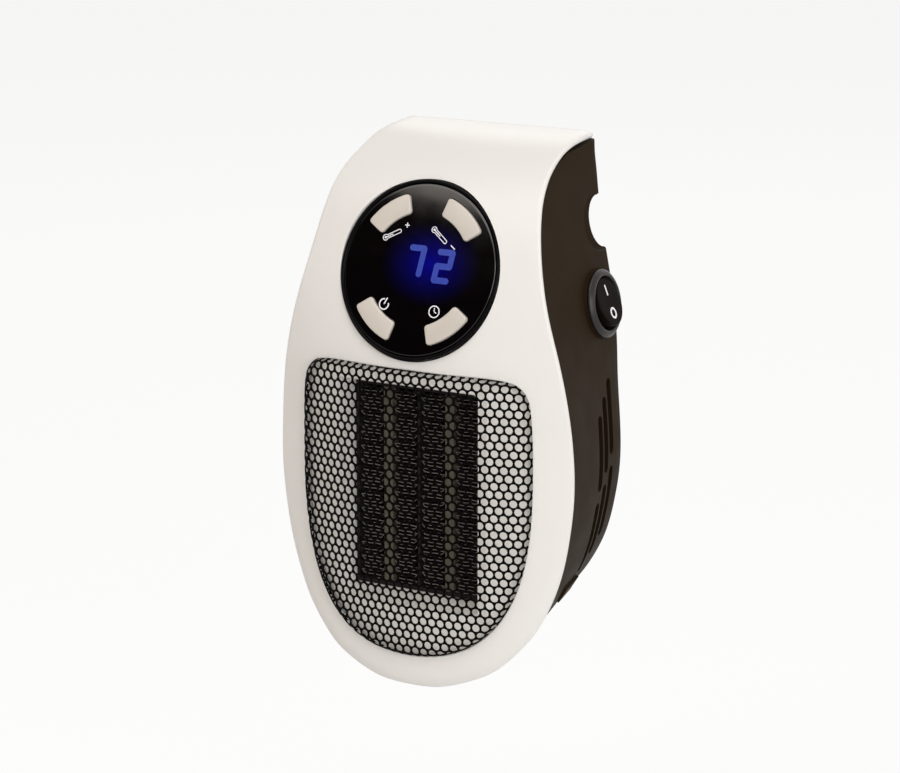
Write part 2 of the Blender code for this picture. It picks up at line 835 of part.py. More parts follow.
def add_intake(tub):
    """Level slots in the rear face behind the fan, shorter towards the top and bottom of a circle."""
    x, z = fan_centre()
    for n in range(INTAKE_ROWS):
        rise = (n - (INTAKE_ROWS - 1) / 2) * INTAKE_PITCH
        length = 2 * math.sqrt(INTAKE_RADIUS**2 - rise**2)
        place = to_wall(x, -REAR_GAP, z + rise)
        slot = [(b, a) for a, b in reversed(stadium(INTAKE_WIDTH, length))]
        cut(tub, cutter(f"intake_{n}", prism_shape(slot, -TUB_WALL - OVERRUN, OVERRUN), place))


def add_screw_boss(tub, name, x, z):
    radius = HEAD_RADIUS + GAP + BOSS_WALL
    boss = rod_shape(radius, -BOSS_DEPTH, -TUB_WALL / 2)
    join(tub, cutter(f"boss_{name}", boss, to_wall(x, -REAR_GAP, z)))
    profile = (
        (0, OVERRUN),
        (HEAD_RADIUS + GAP, OVERRUN),
        (HEAD_RADIUS + GAP, -HEAD_SINK - GAP),
        (SCREW_RADIUS + GAP, -HEAD_SINK - GAP),
        (SCREW_RADIUS + GAP, -BOSS_DEPTH - OVERRUN),
        (0, -BOSS_DEPTH - OVERRUN),
    )
    cut(tub, turned_cutter(f"screw_hole_{name}", profile, to_wall(x, -REAR_GAP, z), SMALL_STEPS * 2))


def board_post_places():
    """Corners of the power board, as (x, z)."""
    reach_x = POWER_BOARD_WIDTH / 2 - BOARD_POST_INSET
    reach_z = POWER_BOARD_HEIGHT / 2 - BOARD_POST_INSET
    centre = TOP - POWER_BOARD_DROP
    return [(POWER_BOARD_X + a * reach_x, centre + b * reach_z) for a in (-1, 1) for b in (-1, 1)]


def switch_frame():
    """Frame of the rocker switch: Z outward at the back of its bezel, X towards the wall."""
    return wall_frame(SWITCH_DROP, SWITCH_OUT) @ at(0, 0, SWITCH_PAD_STAND + GAP)


def add_switch_pad(tub):
    place = wall_frame(SWITCH_DROP, SWITCH_OUT)
    pad = rod_shape(SWITCH_PAD_RADIUS, -SWITCH_PAD_DEPTH, SWITCH_PAD_STAND, FINE_STEPS)
    join(tub, cutter("switch_pad", pad, place))
    hole = rod_shape(SWITCH_BODY_RADIUS + GAP, -SWITCH_PAD_DEPTH - OVERRUN, SWITCH_PAD_STAND + OVERRUN, FINE_STEPS)
    cut(tub, cutter("switch_hole", hole, place))


def add_skids(tub):
    """Thin raised tabs low on both sides of the housing."""
    front = tub_front(SKID_DOWN_SHARE)
    point = front.lerp(tub_rear(SKID_DOWN_SHARE), SKID_BACK_SHARE)
    frame = surface_frame(SKID_DOWN_SHARE, SKID_BACK_SHARE, point)
    low = (-SKID_LENGTH / 2, -SKID_WIDTH / 2, -TUB_WALL / 2)
    high = (SKID_LENGTH / 2, SKID_WIDTH / 2, SKID_STAND)
    for side, place in (("right", frame), ("left", mirrored(frame))):
        join(tub, cutter(f"skid_{side}", box_shape(low, high), place))


def make_tub():
    outer = [tub_row(down, 0, TUB_CORNER) for down in tub_stations()]
    inner = [tub_row(down, TUB_WALL, TUB_INNER_CORNER) for down in tub_stations()]
    tub = piece("rear_housing", walled_shape(outer, inner), Matrix(), DARK, 0.45)
    other_half(tub)
    add_recess(tub)
    add_scoops(tub)
    add_skids(tub)
    add_switch_pad(tub)
    for name, x, z in screw_places():
        add_screw_boss(tub, name, x, z)
    for n, (x, z) in enumerate(board_post_places()):
        post = rod_shape(BOARD_POST_RADIUS, -(POWER_BOARD_OUT - REAR_GAP - GAP), -TUB_WALL / 2, SMALL_STEPS)
        join(tub, cutter(f"board_post_{n}", post, to_wall(x, -REAR_GAP, z)))
    add_vents(tub)
    add_intake(tub)
    hole = rod_shape(PLUG_NECK_RADIUS + GAP, -TUB_WALL - OVERRUN, OVERRUN)
    cut(tub, cutter("plug_hole", hole, to_wall(0, -REAR_GAP - REAR_STEP, 0)))
    settle(tub)


def screw_reach():
    """How far a housing screw's shank goes into its post."""
    return BOSS_DEPTH


def make_screws():
    shank = BOSS_DEPTH + GAP + screw_reach()
    for name, x, z in screw_places():
        profile = (
            (0, -HEAD_SINK + HEAD_DEPTH),
            (HEAD_RADIUS, -HEAD_SINK + HEAD_DEPTH),
            (HEAD_RADIUS, -HEAD_SINK),
            (SCREW_RADIUS, -HEAD_SINK),
            (SCREW_RADIUS, -shank),
            (0, -shank),
        )
        screw = turned_piece(
            f"screw_{name}", profile, to_wall(x, -REAR_GAP, z), STEEL, 0.35, 1.0, SMALL_STEPS
        )
        settle(screw)


def make_grille():
    """A bowed sheet proud of the cover, turned back into the opening at its edge, with a field of holes."""
    low = TOP - GRILLE_DROP - GRILLE_HEIGHT - OVERRUN
    high = TOP - GRILLE_DROP + OVERRUN
    depth = GRILLE_STAND + GRILLE_REACH
    start = -DEPTH - CROWN
    grille = piece("grille", plate_shape(-GRILLE_STAND, depth, low, high), Matrix(), BLACK, 0.4, 0.6)
    trim = front_prism(grille_outline(0), start, -DEPTH / 2)
    boolean(grille, cutter("grille_outline", trim, Matrix()), "INTERSECT")
    hollow = cutter("grille_hollow", plate_shape(GRILLE_THICK - GRILLE_STAND, depth + OVERRUN, low, high), Matrix())
    inner = front_prism(grille_outline(-GRILLE_THICK), start, -DEPTH / 2)
    boolean(hollow, cutter("grille_inner", inner, Matrix()), "INTERSECT")
    cut(grille, hollow)
    cut(grille, cutter("grille_holes", grille_hole_shape(), Matrix()))
    settle(grille)


def inside(outline, x, z):
    """Whether a point lies inside a closed outline."""
    hit = False
    for (x0, z0), (x1, z1) in zip(outline, outline[1:] + outline[:1]):
        if (z0 > z) != (z1 > z) and x < x0 + (z - z0) * (x1 - x0) / (z1 - z0):
            hit = not hit
    return hit


def grille_hole_places():
    """Centres of the grille's holes, rows staggered by half a pitch."""
    radius = (GRILLE_PITCH - GRILLE_WEB) / 2
    limit = grille_outline(-(radius + GRILLE_RIM))
    rise = GRILLE_PITCH * math.sqrt(3) / 2
    middle = TOP - GRILLE_DROP - GRILLE_HEIGHT / 2
    rows = int(GRILLE_HEIGHT / rise / 2) + 1
    columns = int(GRILLE_HALF_WIDTH / GRILLE_PITCH) + 1
    places = []
    for row in range(-rows, rows + 1):
        for column in range(-columns, columns + 1):
            x = (column + (row % 2) / 2) * GRILLE_PITCH
            z = middle + row * rise
            if inside(limit, x, z):
                places.append((x, z))
    return places


def grille_hole_shape():
    radius = (GRILLE_PITCH - GRILLE_WEB) / 2
    shape = bmesh.new()
    for x, z in grille_hole_places():
        place = to_wall(x, -DEPTH, z)
        bmesh.ops.create_cone(
            shape, cap_ends=True, segments=GRILLE_HOLE_SIDES, radius1=radius, radius2=radius,
            depth=DEPTH / 2, matrix=place,
        )
    return shape


def tunnel_box(grow, low, high):
    """The tunnel's rectangle grown by a distance, from Y low to high."""
    x, z = fan_centre()
    half_x = TUNNEL_WIDTH / 2 + grow
    half_z = TUNNEL_HEIGHT / 2 + grow
    return box_shape((x - half_x, low, z - half_z), (x + half_x, high, z + half_z))


def flare_shape(near, far):
    """The tunnel's mouth, wider towards the front."""
    shape = tunnel_box(-GAP, near, far)
    x, z = fan_centre()
    slope = (TUNNEL_FLARE + GAP) / (far + DEPTH - PAN_SINK)
    grow = 2 * slope * (far - near)
    wide = TUNNEL_WIDTH - 2 * GAP
    tall = TUNNEL_HEIGHT - 2 * GAP
    front = [corner for corner in shape.verts if corner.co.y < (near + far) / 2]
    spread = ((wide + grow) / wide, 1, (tall + grow) / tall)
    bmesh.ops.scale(shape, vec=spread, verts=front, space=at(-x, 0, -z))
    return shape


def make_pan():
    """The white plate behind the grille and the tunnel that holds the heating element."""
    low = TOP - GRILLE_DROP - GRILLE_HEIGHT - PAN_MARGIN - OVERRUN
    high = TOP - GRILLE_DROP + PAN_MARGIN + OVERRUN
    pan = piece("outlet_pan", plate_shape(PAN_SINK, PAN_THICK, low, high), Matrix(), WHITE, 0.3)
    trim = front_prism(grille_outline(PAN_MARGIN), -DEPTH - CROWN, -DEPTH / 2)
    boolean(pan, cutter("pan_outline", trim, Matrix()), "INTERSECT")
    start = -DEPTH - CROWN
    for name, x, z in screw_places()[:2]:
        notch = rod_shape(POST_RADIUS + GAP, start, -DEPTH / 2, SMALL_STEPS * 2)
        cut(pan, cutter(f"pan_notch_{name}", notch, to_wall(x, 0, z)))
    mouth = cutter("tunnel_walls", plate_shape(PAN_SINK + PAN_THICK / 2, TUNNEL_WIDTH, low, high), Matrix())
    walls = tunnel_box(TUNNEL_FLARE + TUNNEL_WALL, start, -ELEMENT_OUT)
    boolean(mouth, cutter("tunnel_sides", walls, Matrix()), "INTERSECT")
    join(pan, mouth)
    back = -(ELEMENT_OUT - ELEMENT_DEPTH)
    shelf = -ELEMENT_OUT - TUNNEL_WALL
    join(pan, cutter("element_walls", tunnel_box(TUNNEL_WALL, shelf, back), Matrix()))
    cut(pan, cutter("tunnel_mouth", flare_shape(start, shelf), Matrix()))
    cut(pan, cutter("tunnel_throat", tunnel_box(0, start, back + OVERRUN), Matrix()))
    settle(pan)


def element_box(x_low, x_high, z_low, z_high):
    """A box across the element's full depth."""
    return box_shape((x_low, -ELEMENT_OUT, z_low), (x_high, -ELEMENT_OUT + ELEMENT_DEPTH - GAP, z_high))


def fin_shape(x_low, x_high, z_low, z_high):
    """A ribbon folded to and fro between two sides, climbing from z_low to z_high."""
    shape = bmesh.new()
    rise = (z_high - z_low - FIN_THICK) / (2 * FIN_FOLDS)
    front = []
    for n in range(2 * FIN_FOLDS + 1):
        x = x_high - FIN_THICK / 2 if n % 2 else x_low + FIN_THICK / 2
        front.append((x, z_low + FIN_THICK / 2 + rise * n))
    depths = (-ELEMENT_OUT + GAP, -ELEMENT_OUT + ELEMENT_DEPTH - 2 * GAP)
    rows = [[shape.verts.new((x, y, z)) for x, z in front] for y in depths]
    for n in range(len(front) - 1):
        shape.faces.new((rows[0][n], rows[0][n + 1], rows[1][n + 1], rows[1][n]))
    return shape


def make_element():
    """Two heating strips, each between a pair of folded fin packs, in a frame with a middle divider."""
    x, z = fan_centre()
    left = x - TUNNEL_WIDTH / 2 + GAP
    right = x + TUNNEL_WIDTH / 2 - GAP
    bottom = z - TUNNEL_HEIGHT / 2 + GAP
    top = z + TUNNEL_HEIGHT / 2 - GAP
    piece("element_clamp_top", element_box(left, right, top - CLAMP_THICK, top), Matrix(), BLACK, 0.6)
    piece("element_clamp_bottom", element_box(left, right, bottom, bottom + CLAMP_THICK), Matrix(), BLACK, 0.6)
    low = bottom + CLAMP_THICK + GAP
    high = top - CLAMP_THICK - GAP
    piece("element_frame_left", element_box(left, left + FRAME_THICK, low, high), Matrix(), BLACK, 0.5, 0.5)
    piece("element_frame_right", element_box(right - FRAME_THICK, right, low, high), Matrix(), BLACK, 0.5, 0.5)
    middle = DIVIDER_THICK / 2
    piece("element_divider", element_box(x - middle, x + middle, low, high), Matrix(), BLACK, 0.5, 0.5)
    bays = ((left + FRAME_THICK, x - middle), (x + middle, right - FRAME_THICK))
    for n, (start, end) in enumerate(bays):
        centre = (start + end) / 2
        strip = (centre - PTC_WIDTH / 2, centre + PTC_WIDTH / 2)
        piece(f"ptc_strip_{n + 1}", element_box(*strip, low, high), Matrix(), STONE, 0.6)
        for side, (a, b) in enumerate(((start, strip[0]), (strip[1], end))):
            fins = fin_shape(a + GAP, b - GAP, low, high)
            pack = piece(f"fin_pack_{2 * n + side + 1}", fins, Matrix(), BLACK, 0.5, 0.7)
            wall = pack.modifiers.new("ribbon", "SOLIDIFY")
            wall.thickness = FIN_THICK
            wall.offset = 0
            settle(pack)


def shroud_front():
    return -(ELEMENT_OUT - ELEMENT_DEPTH) + GAP


def make_cutout():
    """Thermal cut-out that lies on the top of the tunnel."""
    x, z = fan_centre()
    wide, deep, tall = CUTOUT_SIZE
    top = z + TUNNEL_HEIGHT / 2 + TUNNEL_WALL + GAP
    back = shroud_front() - GAP
    shape = box_shape((x - wide / 2, back - tall, top), (x + wide / 2, back, top + deep))
    piece("thermal_cutout", shape, Matrix(), IVORY, 0.5)


def make_shroud():
    """Plate behind the element with a round duct for the fan and two screw posts."""
    x, z = fan_centre()
    front = shroud_front()
    plate = tunnel_box(TUNNEL_WALL, front, front + SHROUD_THICK)
    shroud = piece("fan_shroud", plate, Matrix(), DARK, 0.5)
    bore = FAN_RADIUS + TIP_CLEARANCE
    ring = rod_shape(bore + SHROUD_THICK, SHROUD_THICK / 2, SHROUD_LENGTH, FINE_STEPS)
    join(shroud, cutter("shroud_ring", ring, to_wall(x, front, z)))
    for name, post_x, post_z in screw_places()[2:]:
        start = front + SHROUD_THICK / 2
        post = rod_shape(POST_RADIUS, start, post_end())
        join(shroud, cutter(f"shroud_post_{name}", post, to_wall(post_x, 0, post_z)))
        hole = rod_shape(SCREW_RADIUS + GAP, post_end() - screw_reach() - OVERRUN, 0, SMALL_STEPS)
        cut(shroud, cutter(f"shroud_pilot_{name}", hole, to_wall(post_x, 0, post_z)))
    hole = rod_shape(bore, -OVERRUN, SHROUD_LENGTH + OVERRUN, FINE_STEPS)
    cut(shroud, cutter("shroud_bore", hole, to_wall(x, front, z)))
    settle(shroud)


def hub_back():
    """Y of the impeller hub's rear face."""
    return shroud_front() + SHROUD_LENGTH - GAP - BRACKET_THICK / 2


def bracket_front():
    return shroud_front() + SHROUD_LENGTH + GAP


def make_impeller():
    x, z = fan_centre()
    hub = rod_shape(HUB_RADIUS, -HUB_LENGTH, 0, ROUND_STEPS)
    impeller = piece("impeller", hub, to_wall(x, hub_back(), z), IVORY, 0.4)
    for n in range(BLADE_COUNT):
        reach = (HUB_RADIUS - BLADE_THICK, FAN_RADIUS)
        half = BLADE_CHORD / 2
        shape = box_shape((reach[0], -BLADE_THICK / 2, -half), (reach[1], BLADE_THICK / 2, half))
        spin = Matrix.Rotation(2 * math.pi * n / BLADE_COUNT, 4, "Z") @ Matrix.Rotation(BLADE_PITCH, 4, "X")
        place = to_wall(x, hub_back() - HUB_LENGTH / 2, z) @ spin
        join(impeller, cutter(f"fan_blade_{n}", shape, place))
    hole = rod_shape(SHAFT_RADIUS + GAP, -HUB_LENGTH / 2, OVERRUN, SMALL_STEPS)
    cut(impeller, cutter("hub_bore", hole, to_wall(x, hub_back(), z)))
    settle(impeller)


def motor_front():
    return bracket_front() + BRACKET_THICK + GAP


def make_motor():
    x, z = fan_centre()
    hole = SHAFT_RADIUS + GAP
    edge = COVER_WALL / 2
    profile = (
        (0, MOTOR_LENGTH),
        (MOTOR_RADIUS - edge, MOTOR_LENGTH),
        (MOTOR_RADIUS, MOTOR_LENGTH - edge),
        (MOTOR_RADIUS, edge),
        (MOTOR_RADIUS - edge, 0),
        (hole, 0),
        (hole, MOTOR_LENGTH / 2),
        (0, MOTOR_LENGTH / 2),
    )
    motor = turned_piece("fan_motor", profile, to_wall(x, motor_front(), z), STEEL, 0.35, 1.0)
    settle(motor)
    start = hub_back() - HUB_LENGTH / 2 + GAP
    end = motor_front() + MOTOR_LENGTH / 2 - GAP
    shaft = rod_shape(SHAFT_RADIUS, start, end, SMALL_STEPS)
    item = piece("motor_shaft", shaft, to_wall(x, 0, z), STEEL, 0.25, 1.0)
    smooth(item)


def make_bracket():
    """Ring with three arms that carries the motor behind the duct."""
    x, z = fan_centre()
    place = to_wall(x, bracket_front(), z)
    outer = FAN_RADIUS + TIP_CLEARANCE + SHROUD_THICK
    inner = outer - BRACKET_ARM
    profile = ((outer, BRACKET_THICK), (outer, 0), (inner, 0), (inner, BRACKET_THICK))
    bracket = turned_piece("motor_bracket", profile, place, DARK, 0.5, 0.0, FINE_STEPS, closed=True)
    hub = rod_shape(MOTOR_RADIUS * 3 / 4, 0, BRACKET_THICK)
    join(bracket, cutter("bracket_hub", hub, place))
    for n in range(BRACKET_ARMS):
        turn = Matrix.Rotation(2 * math.pi * n / BRACKET_ARMS + math.pi / 2, 4, "Z")
        arm = box_shape((MOTOR_RADIUS / 2, -BRACKET_ARM / 2, 0), (inner + BRACKET_ARM / 2, BRACKET_ARM / 2, BRACKET_THICK))
        join(bracket, cutter(f"bracket_arm_{n}", arm, place @ turn))
    hole = rod_shape(SHAFT_RADIUS + GAP, -OVERRUN, BRACKET_THICK + OVERRUN, SMALL_STEPS)
    cut(bracket, cutter("bracket_bore", hole, place))
    settle(bracket)


def make_disc():
    place = disc_frame()
    edge = DISC_THICK / 3
    profile = (
        (0, 0),
        (DISC_RADIUS - edge, 0),
        (DISC_RADIUS, -edge),
        (DISC_RADIUS, -DISC_THICK),
        (0, -DISC_THICK),
    )
    disc = turned_piece("control_disc", profile, place, BLACK, 0.12, 0.0, FINE_STEPS)
    for name, turn in button_turns():
        slot = ring_segment(GAP, -DISC_THICK - OVERRUN, OVERRUN)
        cut(disc, cutter(f"slot_{name}", slot, place @ Matrix.Rotation(turn, 4, "Z")))
    board = -CONTROL_BOARD_SINK
    for n in range(4):
        spot = place @ Matrix.Rotation(math.pi / 2 * n, 4, "Z") @ at(DISC_RADIUS * STANDOFF_SHARE * 1.3, 0, 0)
        post = rod_shape(STANDOFF_RADIUS, board + GAP, -DISC_THICK / 2, SMALL_STEPS)
        join(disc, cutter(f"standoff_{n}", post, spot))
    settle(disc)


def make_bezel():
    """Thin ring round the disc with a lip behind it."""
    outer = DISC_RADIUS + GAP + BEZEL_WALL
    inner = DISC_RADIUS + GAP
    seat = -DISC_THICK - GAP
    profile = (
        (outer, 0),
        (outer, -BEZEL_DEPTH),
        (inner - BEZEL_LIP, -BEZEL_DEPTH),
        (inner - BEZEL_LIP, seat),
        (inner, seat),
        (inner, 0),
    )
    bezel = turned_piece("display_bezel", profile, disc_frame(), BLACK, 0.2, 0.0, FINE_STEPS, closed=True)
    settle(bezel)


def button_turns():
    """Where the four buttons sit round the disc, from its +X."""
    return (
        ("temp_down", BUTTON_ANGLE),
        ("temp_up", math.pi - BUTTON_ANGLE),
        ("power", math.pi + BUTTON_ANGLE),
        ("timer", -BUTTON_ANGLE),
    )


def ring_segment(grow, low, high, steps=6):
    """A piece of a ring about +X, between the buttons' inner and outer radius, grown all round."""
    inner = DISC_RADIUS * BUTTON_INNER_SHARE - grow
    outer = DISC_RADIUS * BUTTON_OUTER_SHARE + grow
    points = []
    for radius, way in ((outer, 1), (inner, -1)):
        span = BUTTON_HALF_SPAN + grow / radius
        for n in range(steps + 1):
            turn = way * span * (2 * n / steps - 1)
            points.append((radius * math.cos(turn), radius * math.sin(turn)))
    return prism_shape(points, low, high)


def make_buttons():
    """Four keys, each with a flange behind the disc."""
    place = disc_frame()
    flange = -DISC_THICK - GAP
    middle = DISC_RADIUS * (BUTTON_INNER_SHARE + BUTTON_OUTER_SHARE) / 2
    for name, turn in button_turns():
        home = place @ Matrix.Rotation(turn, 4, "Z") @ at(middle, 0, 0)
        cap = ring_segment(0, flange - BUTTON_FLANGE / 2, BUTTON_PROUD)
        bmesh.ops.translate(cap, vec=(-middle, 0, 0), verts=cap.verts)
        button = piece(f"button_{name}", cap, home, IVORY, 0.35)
        foot = cutter(f"flange_{name}", ring_segment(BUTTON_LIP, flange - BUTTON_FLANGE, flange), home @ at(-middle, 0, 0))
        join(button, foot)
        settle(button)


def make_control_board():
    place = disc_frame()
    front = -CONTROL_BOARD_SINK
    board = rod_shape(DISC_RADIUS * CONTROL_BOARD_SHARE, front - BOARD_THICK, front, ROUND_STEPS)
    piece("control_board", board, place, BOARD_GREEN, 0.5)
    top = -DISC_THICK - GAP - BUTTON_FLANGE - BUTTON_TRAVEL - GAP
    for name, turn in button_turns():
        side = TACT_SIDE / 2
        shape = box_shape((-side, -side, front + GAP), (side, side, top))
        spot = place @ Matrix.Rotation(turn, 4, "Z") @ at(DISC_RADIUS * TACT_SHARE, 0, 0)
        piece(f"key_switch_{name}", shape, spot, STEEL, 0.4, 0.6)
    wide = LED_WIDTH / 2
    tall = LED_HEIGHT / 2
    shape = box_shape((-wide, -tall, front + GAP), (wide, tall, -DISC_THICK - GAP))
    piece("led_display", shape, place @ at(LED_OFFSET_X, LED_OFFSET_Z, 0), BLACK, 0.3)


def make_power_board():
    front = -POWER_BOARD_OUT - BOARD_THICK
    z = TOP - POWER_BOARD_DROP
    wide = POWER_BOARD_WIDTH / 2
    tall = POWER_BOARD_HEIGHT / 2
    shape = box_shape((-wide, 0, -tall), (wide, BOARD_THICK, tall))
    piece("power_board", shape, at(POWER_BOARD_X, front, z), BOARD_GREEN, 0.5)
    face = at(POWER_BOARD_X, front - GAP, z)
    block("relay", RELAY_SIZE, face @ at(-wide / 2, 0, tall / 3), BLACK)
    block("terminal_block", TERMINAL_SIZE, face @ at(wide / 2, 0, tall / 2), BOARD_GREEN)
    block("heat_sink", HEAT_SINK_SIZE, face @ at(wide / 6, 0, -tall / 3), STEEL)
    can = rod_shape(CAPACITOR_RADIUS, 0, CAPACITOR_LENGTH, SMALL_STEPS * 2)
    spot = facing(face @ Vector((-wide * 3 / 4, 0, -tall / 2)), (0, -1, 0), (1, 0, 0))
    smooth(piece("capacitor", can, spot, BLACK, 0.4))
    ring = turned_piece("choke", choke_profile(), face @ Matrix.Translation((-wide / 6, 0, -tall / 2))
                        @ facing((0, 0, 0), (0, -1, 0), (1, 0, 0)), COPPER, 0.4, 0.6, SMALL_STEPS * 2, closed=True)
    settle(ring)
    tube = rod_shape(TILT_RADIUS, 0, TILT_LENGTH, SMALL_STEPS)
    spot = facing(face @ Vector((wide * 3 / 4, 0, -tall / 2)), (0, -1, 0), (1, 0, 0))
    smooth(piece("tilt_switch", tube, spot, STEEL, 0.4, 0.8))


def block(name, size, place, colour):
    """A board-mounted box of width, height and depth that stands forward from its place."""
    wide, tall, deep = size
    shape = box_shape((-wide / 2, -deep, -tall / 2), (wide / 2, 0, tall / 2))
    piece(name, shape, place, colour, 0.5)


def choke_profile():
    points = []
    for n in range(SMALL_STEPS):
        turn = -2 * math.pi * n / SMALL_STEPS
        reach = CHOKE_WIRE * math.cos(turn)
        points.append((CHOKE_RADIUS - CHOKE_WIRE + reach, CHOKE_WIRE + CHOKE_WIRE * math.sin(turn)))
    return points


def make_switch():
    place = switch_frame()
    face = SWITCH_BEZEL_THICK
    profile = (
        (0, -SWITCH_BORE_DEPTH),
        (SWITCH_BORE_RADIUS, -SWITCH_BORE_DEPTH),
        (SWITCH_BORE_RADIUS, face),
        (SWITCH_BEZEL_RADIUS - SWITCH_CHAMFER, face),
        (SWITCH_BEZEL_RADIUS, face - SWITCH_CHAMFER),
        (SWITCH_BEZEL_RADIUS, 0),
        (SWITCH_BODY_RADIUS, 0),
        (SWITCH_BODY_RADIUS, -SWITCH_BODY_LENGTH),
        (0, -SWITCH_BODY_LENGTH),
    )
    body = turned_piece("switch_body", profile, place, BLACK, 0.35, 0.0, FINE_STEPS)
    pivot = facing(place @ Vector((0, 0, -ROCKER_PIVOT_SINK)), place.to_3x3() @ Vector((1, 0, 0)), (0, 0, 1))
    hole = rod_shape(PIVOT_RADIUS + GAP, -SWITCH_BODY_RADIUS + GAP, SWITCH_BODY_RADIUS - GAP, SMALL_STEPS)
    cut(body, cutter("pivot_hole", hole, pivot))
    settle(body)
    make_rocker(place, pivot)
    wide, thick, tall = SPADE_SIZE
    for n, side in enumerate((-1, 1)):
        shape = box_shape((-wide / 2, -thick / 2, -tall), (wide / 2, thick / 2, 0))
        spot = place @ at(0, side * SPADE_SPREAD, -SWITCH_BODY_LENGTH - GAP)
        piece(f"switch_terminal_{n + 1}", shape, spot, BRASS, 0.3, 1.0)


def make_rocker(place, pivot):
    """Round rocker at rest with its upper end pressed in."""
    home = place @ at(0, 0, -ROCKER_PIVOT_SINK) @ Matrix.Rotation(-ROCKER_TILT, 4, "X")
    top = ROCKER_ABOVE
    profile = (
        (0, top),
        (ROCKER_RADIUS - ROCKER_EDGE, top),
        (ROCKER_RADIUS, top - ROCKER_EDGE),
        (ROCKER_RADIUS, -ROCKER_BELOW),
        (0, -ROCKER_BELOW),
    )
    rocker = turned_piece("switch_rocker", profile, home, BLACK, 0.3, 0.0, ROUND_STEPS)
    reach = SWITCH_BODY_RADIUS - 2 * GAP
    pin = rod_shape(PIVOT_RADIUS, -reach, reach, SMALL_STEPS)
    join(rocker, cutter("pivot_pin", pin, pivot))
    settle(rocker)


def make_plug():
    """Round plug with two flat blades, held through the rear wall by a ring."""
    seat = REAR_GAP + REAR_STEP
    profile = (
        (0, 0),
        (PLUG_RADIUS - PLUG_EDGE, 0),
        (PLUG_RADIUS, -PLUG_EDGE),
        (PLUG_RADIUS, -seat + GAP),
        (PLUG_NECK_RADIUS, -seat + GAP),
        (PLUG_NECK_RADIUS, -seat - TUB_WALL - RETAINER_THICK - 2 * GAP),
        (0, -seat - TUB_WALL - RETAINER_THICK - 2 * GAP),
    )
    plug = turned_piece("plug_disc", profile, to_wall(0, 0, 0), BLACK, 0.4, 0.0, FINE_STEPS)
    tail = seat + TUB_WALL + RETAINER_THICK + BLADE_TAIL
    for name, side, width in (("live", 1, LIVE_BLADE_WIDTH), ("neutral", -1, NEUTRAL_BLADE_WIDTH)):
        x = side * BLADE_SPREAD
        thick = PLUG_BLADE_THICK / 2
        tall = width / 2
        slot = box_shape((-thick - GAP, -tail - OVERRUN, -tall - GAP), (thick + GAP, OVERRUN, tall + GAP))
        cut(plug, cutter(f"blade_slot_{name}", slot, at(x, 0, 0)))
        blade = blade_outline(width, tail)
        shape = prism_shape(blade, -thick, thick)
        piece(f"plug_blade_{name}", shape, facing((x, 0, 0), (1, 0, 0), (0, 1, 0)), BRASS, 0.25, 1.0)
    settle(plug)
    inner = PLUG_NECK_RADIUS + GAP
    front = -seat - TUB_WALL - GAP
    ring = (
        (RETAINER_RADIUS, front),
        (RETAINER_RADIUS, front - RETAINER_THICK),
        (inner, front - RETAINER_THICK),
        (inner, front),
    )
    settle(turned_piece("plug_retainer", ring, to_wall(0, 0, 0), IVORY, 0.5, 0.0, ROUND_STEPS, closed=True))


def blade_outline(width, tail):
    """Side view of a plug blade with its tip cut at both corners, along +X."""
    half = width / 2
    tip = BLADE_LENGTH
    shoulder = tip - BLADE_TIP
    return (
        (-tail, -half),
        (shoulder, -half),
        (tip, -half + BLADE_TIP),
        (tip, half - BLADE_TIP),
        (shoulder, half),
        (-tail, half),
    )


make_cover()
make_tub()
make_screws()
make_grille()
make_pan()
make_element()
make_cutout()
make_shroud()
make_impeller()
make_motor()
make_bracket()
make_disc()
make_bezel()
make_buttons()
make_control_board()
make_power_board()
make_switch()
make_plug()
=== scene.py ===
"""Plug-in fan heater, dressed for rendering.

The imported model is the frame: every piece below is made in its coordinates, in metres, with +Z up,
+Y into the wall and the origin at the middle of the plug's face.
"""

import math

import bmesh
import bpy
import numpy as np
from bpy.props import FloatProperty, FloatVectorProperty, PointerProperty
from mathutils import Matrix, Vector


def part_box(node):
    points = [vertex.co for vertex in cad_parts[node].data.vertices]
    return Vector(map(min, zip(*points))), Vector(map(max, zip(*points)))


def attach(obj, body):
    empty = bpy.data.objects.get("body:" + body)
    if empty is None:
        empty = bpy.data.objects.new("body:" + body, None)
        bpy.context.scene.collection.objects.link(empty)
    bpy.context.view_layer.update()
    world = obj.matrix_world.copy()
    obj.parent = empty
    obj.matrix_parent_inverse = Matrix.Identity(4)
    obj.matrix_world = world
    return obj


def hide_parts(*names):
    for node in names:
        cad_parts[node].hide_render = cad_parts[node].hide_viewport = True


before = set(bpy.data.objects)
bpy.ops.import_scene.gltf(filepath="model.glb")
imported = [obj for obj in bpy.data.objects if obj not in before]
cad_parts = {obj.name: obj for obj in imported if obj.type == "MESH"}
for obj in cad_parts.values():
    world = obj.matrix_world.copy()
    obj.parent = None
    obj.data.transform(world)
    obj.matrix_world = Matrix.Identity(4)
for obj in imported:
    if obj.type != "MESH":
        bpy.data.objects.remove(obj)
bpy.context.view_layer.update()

bl_info = {
    "name": "Plug-in Fan Heater",
    "version": (1, 0, 0),
    "blender": (4, 5, 0),
    "location": "3D View > Sidebar > Heater",
    "description": "Builds a plug-in fan heater piece by piece",
    "category": "Add Mesh",
}

MM = 0.001

# The heater's top edge, from which the rows below count down
TOP = 22 * MM

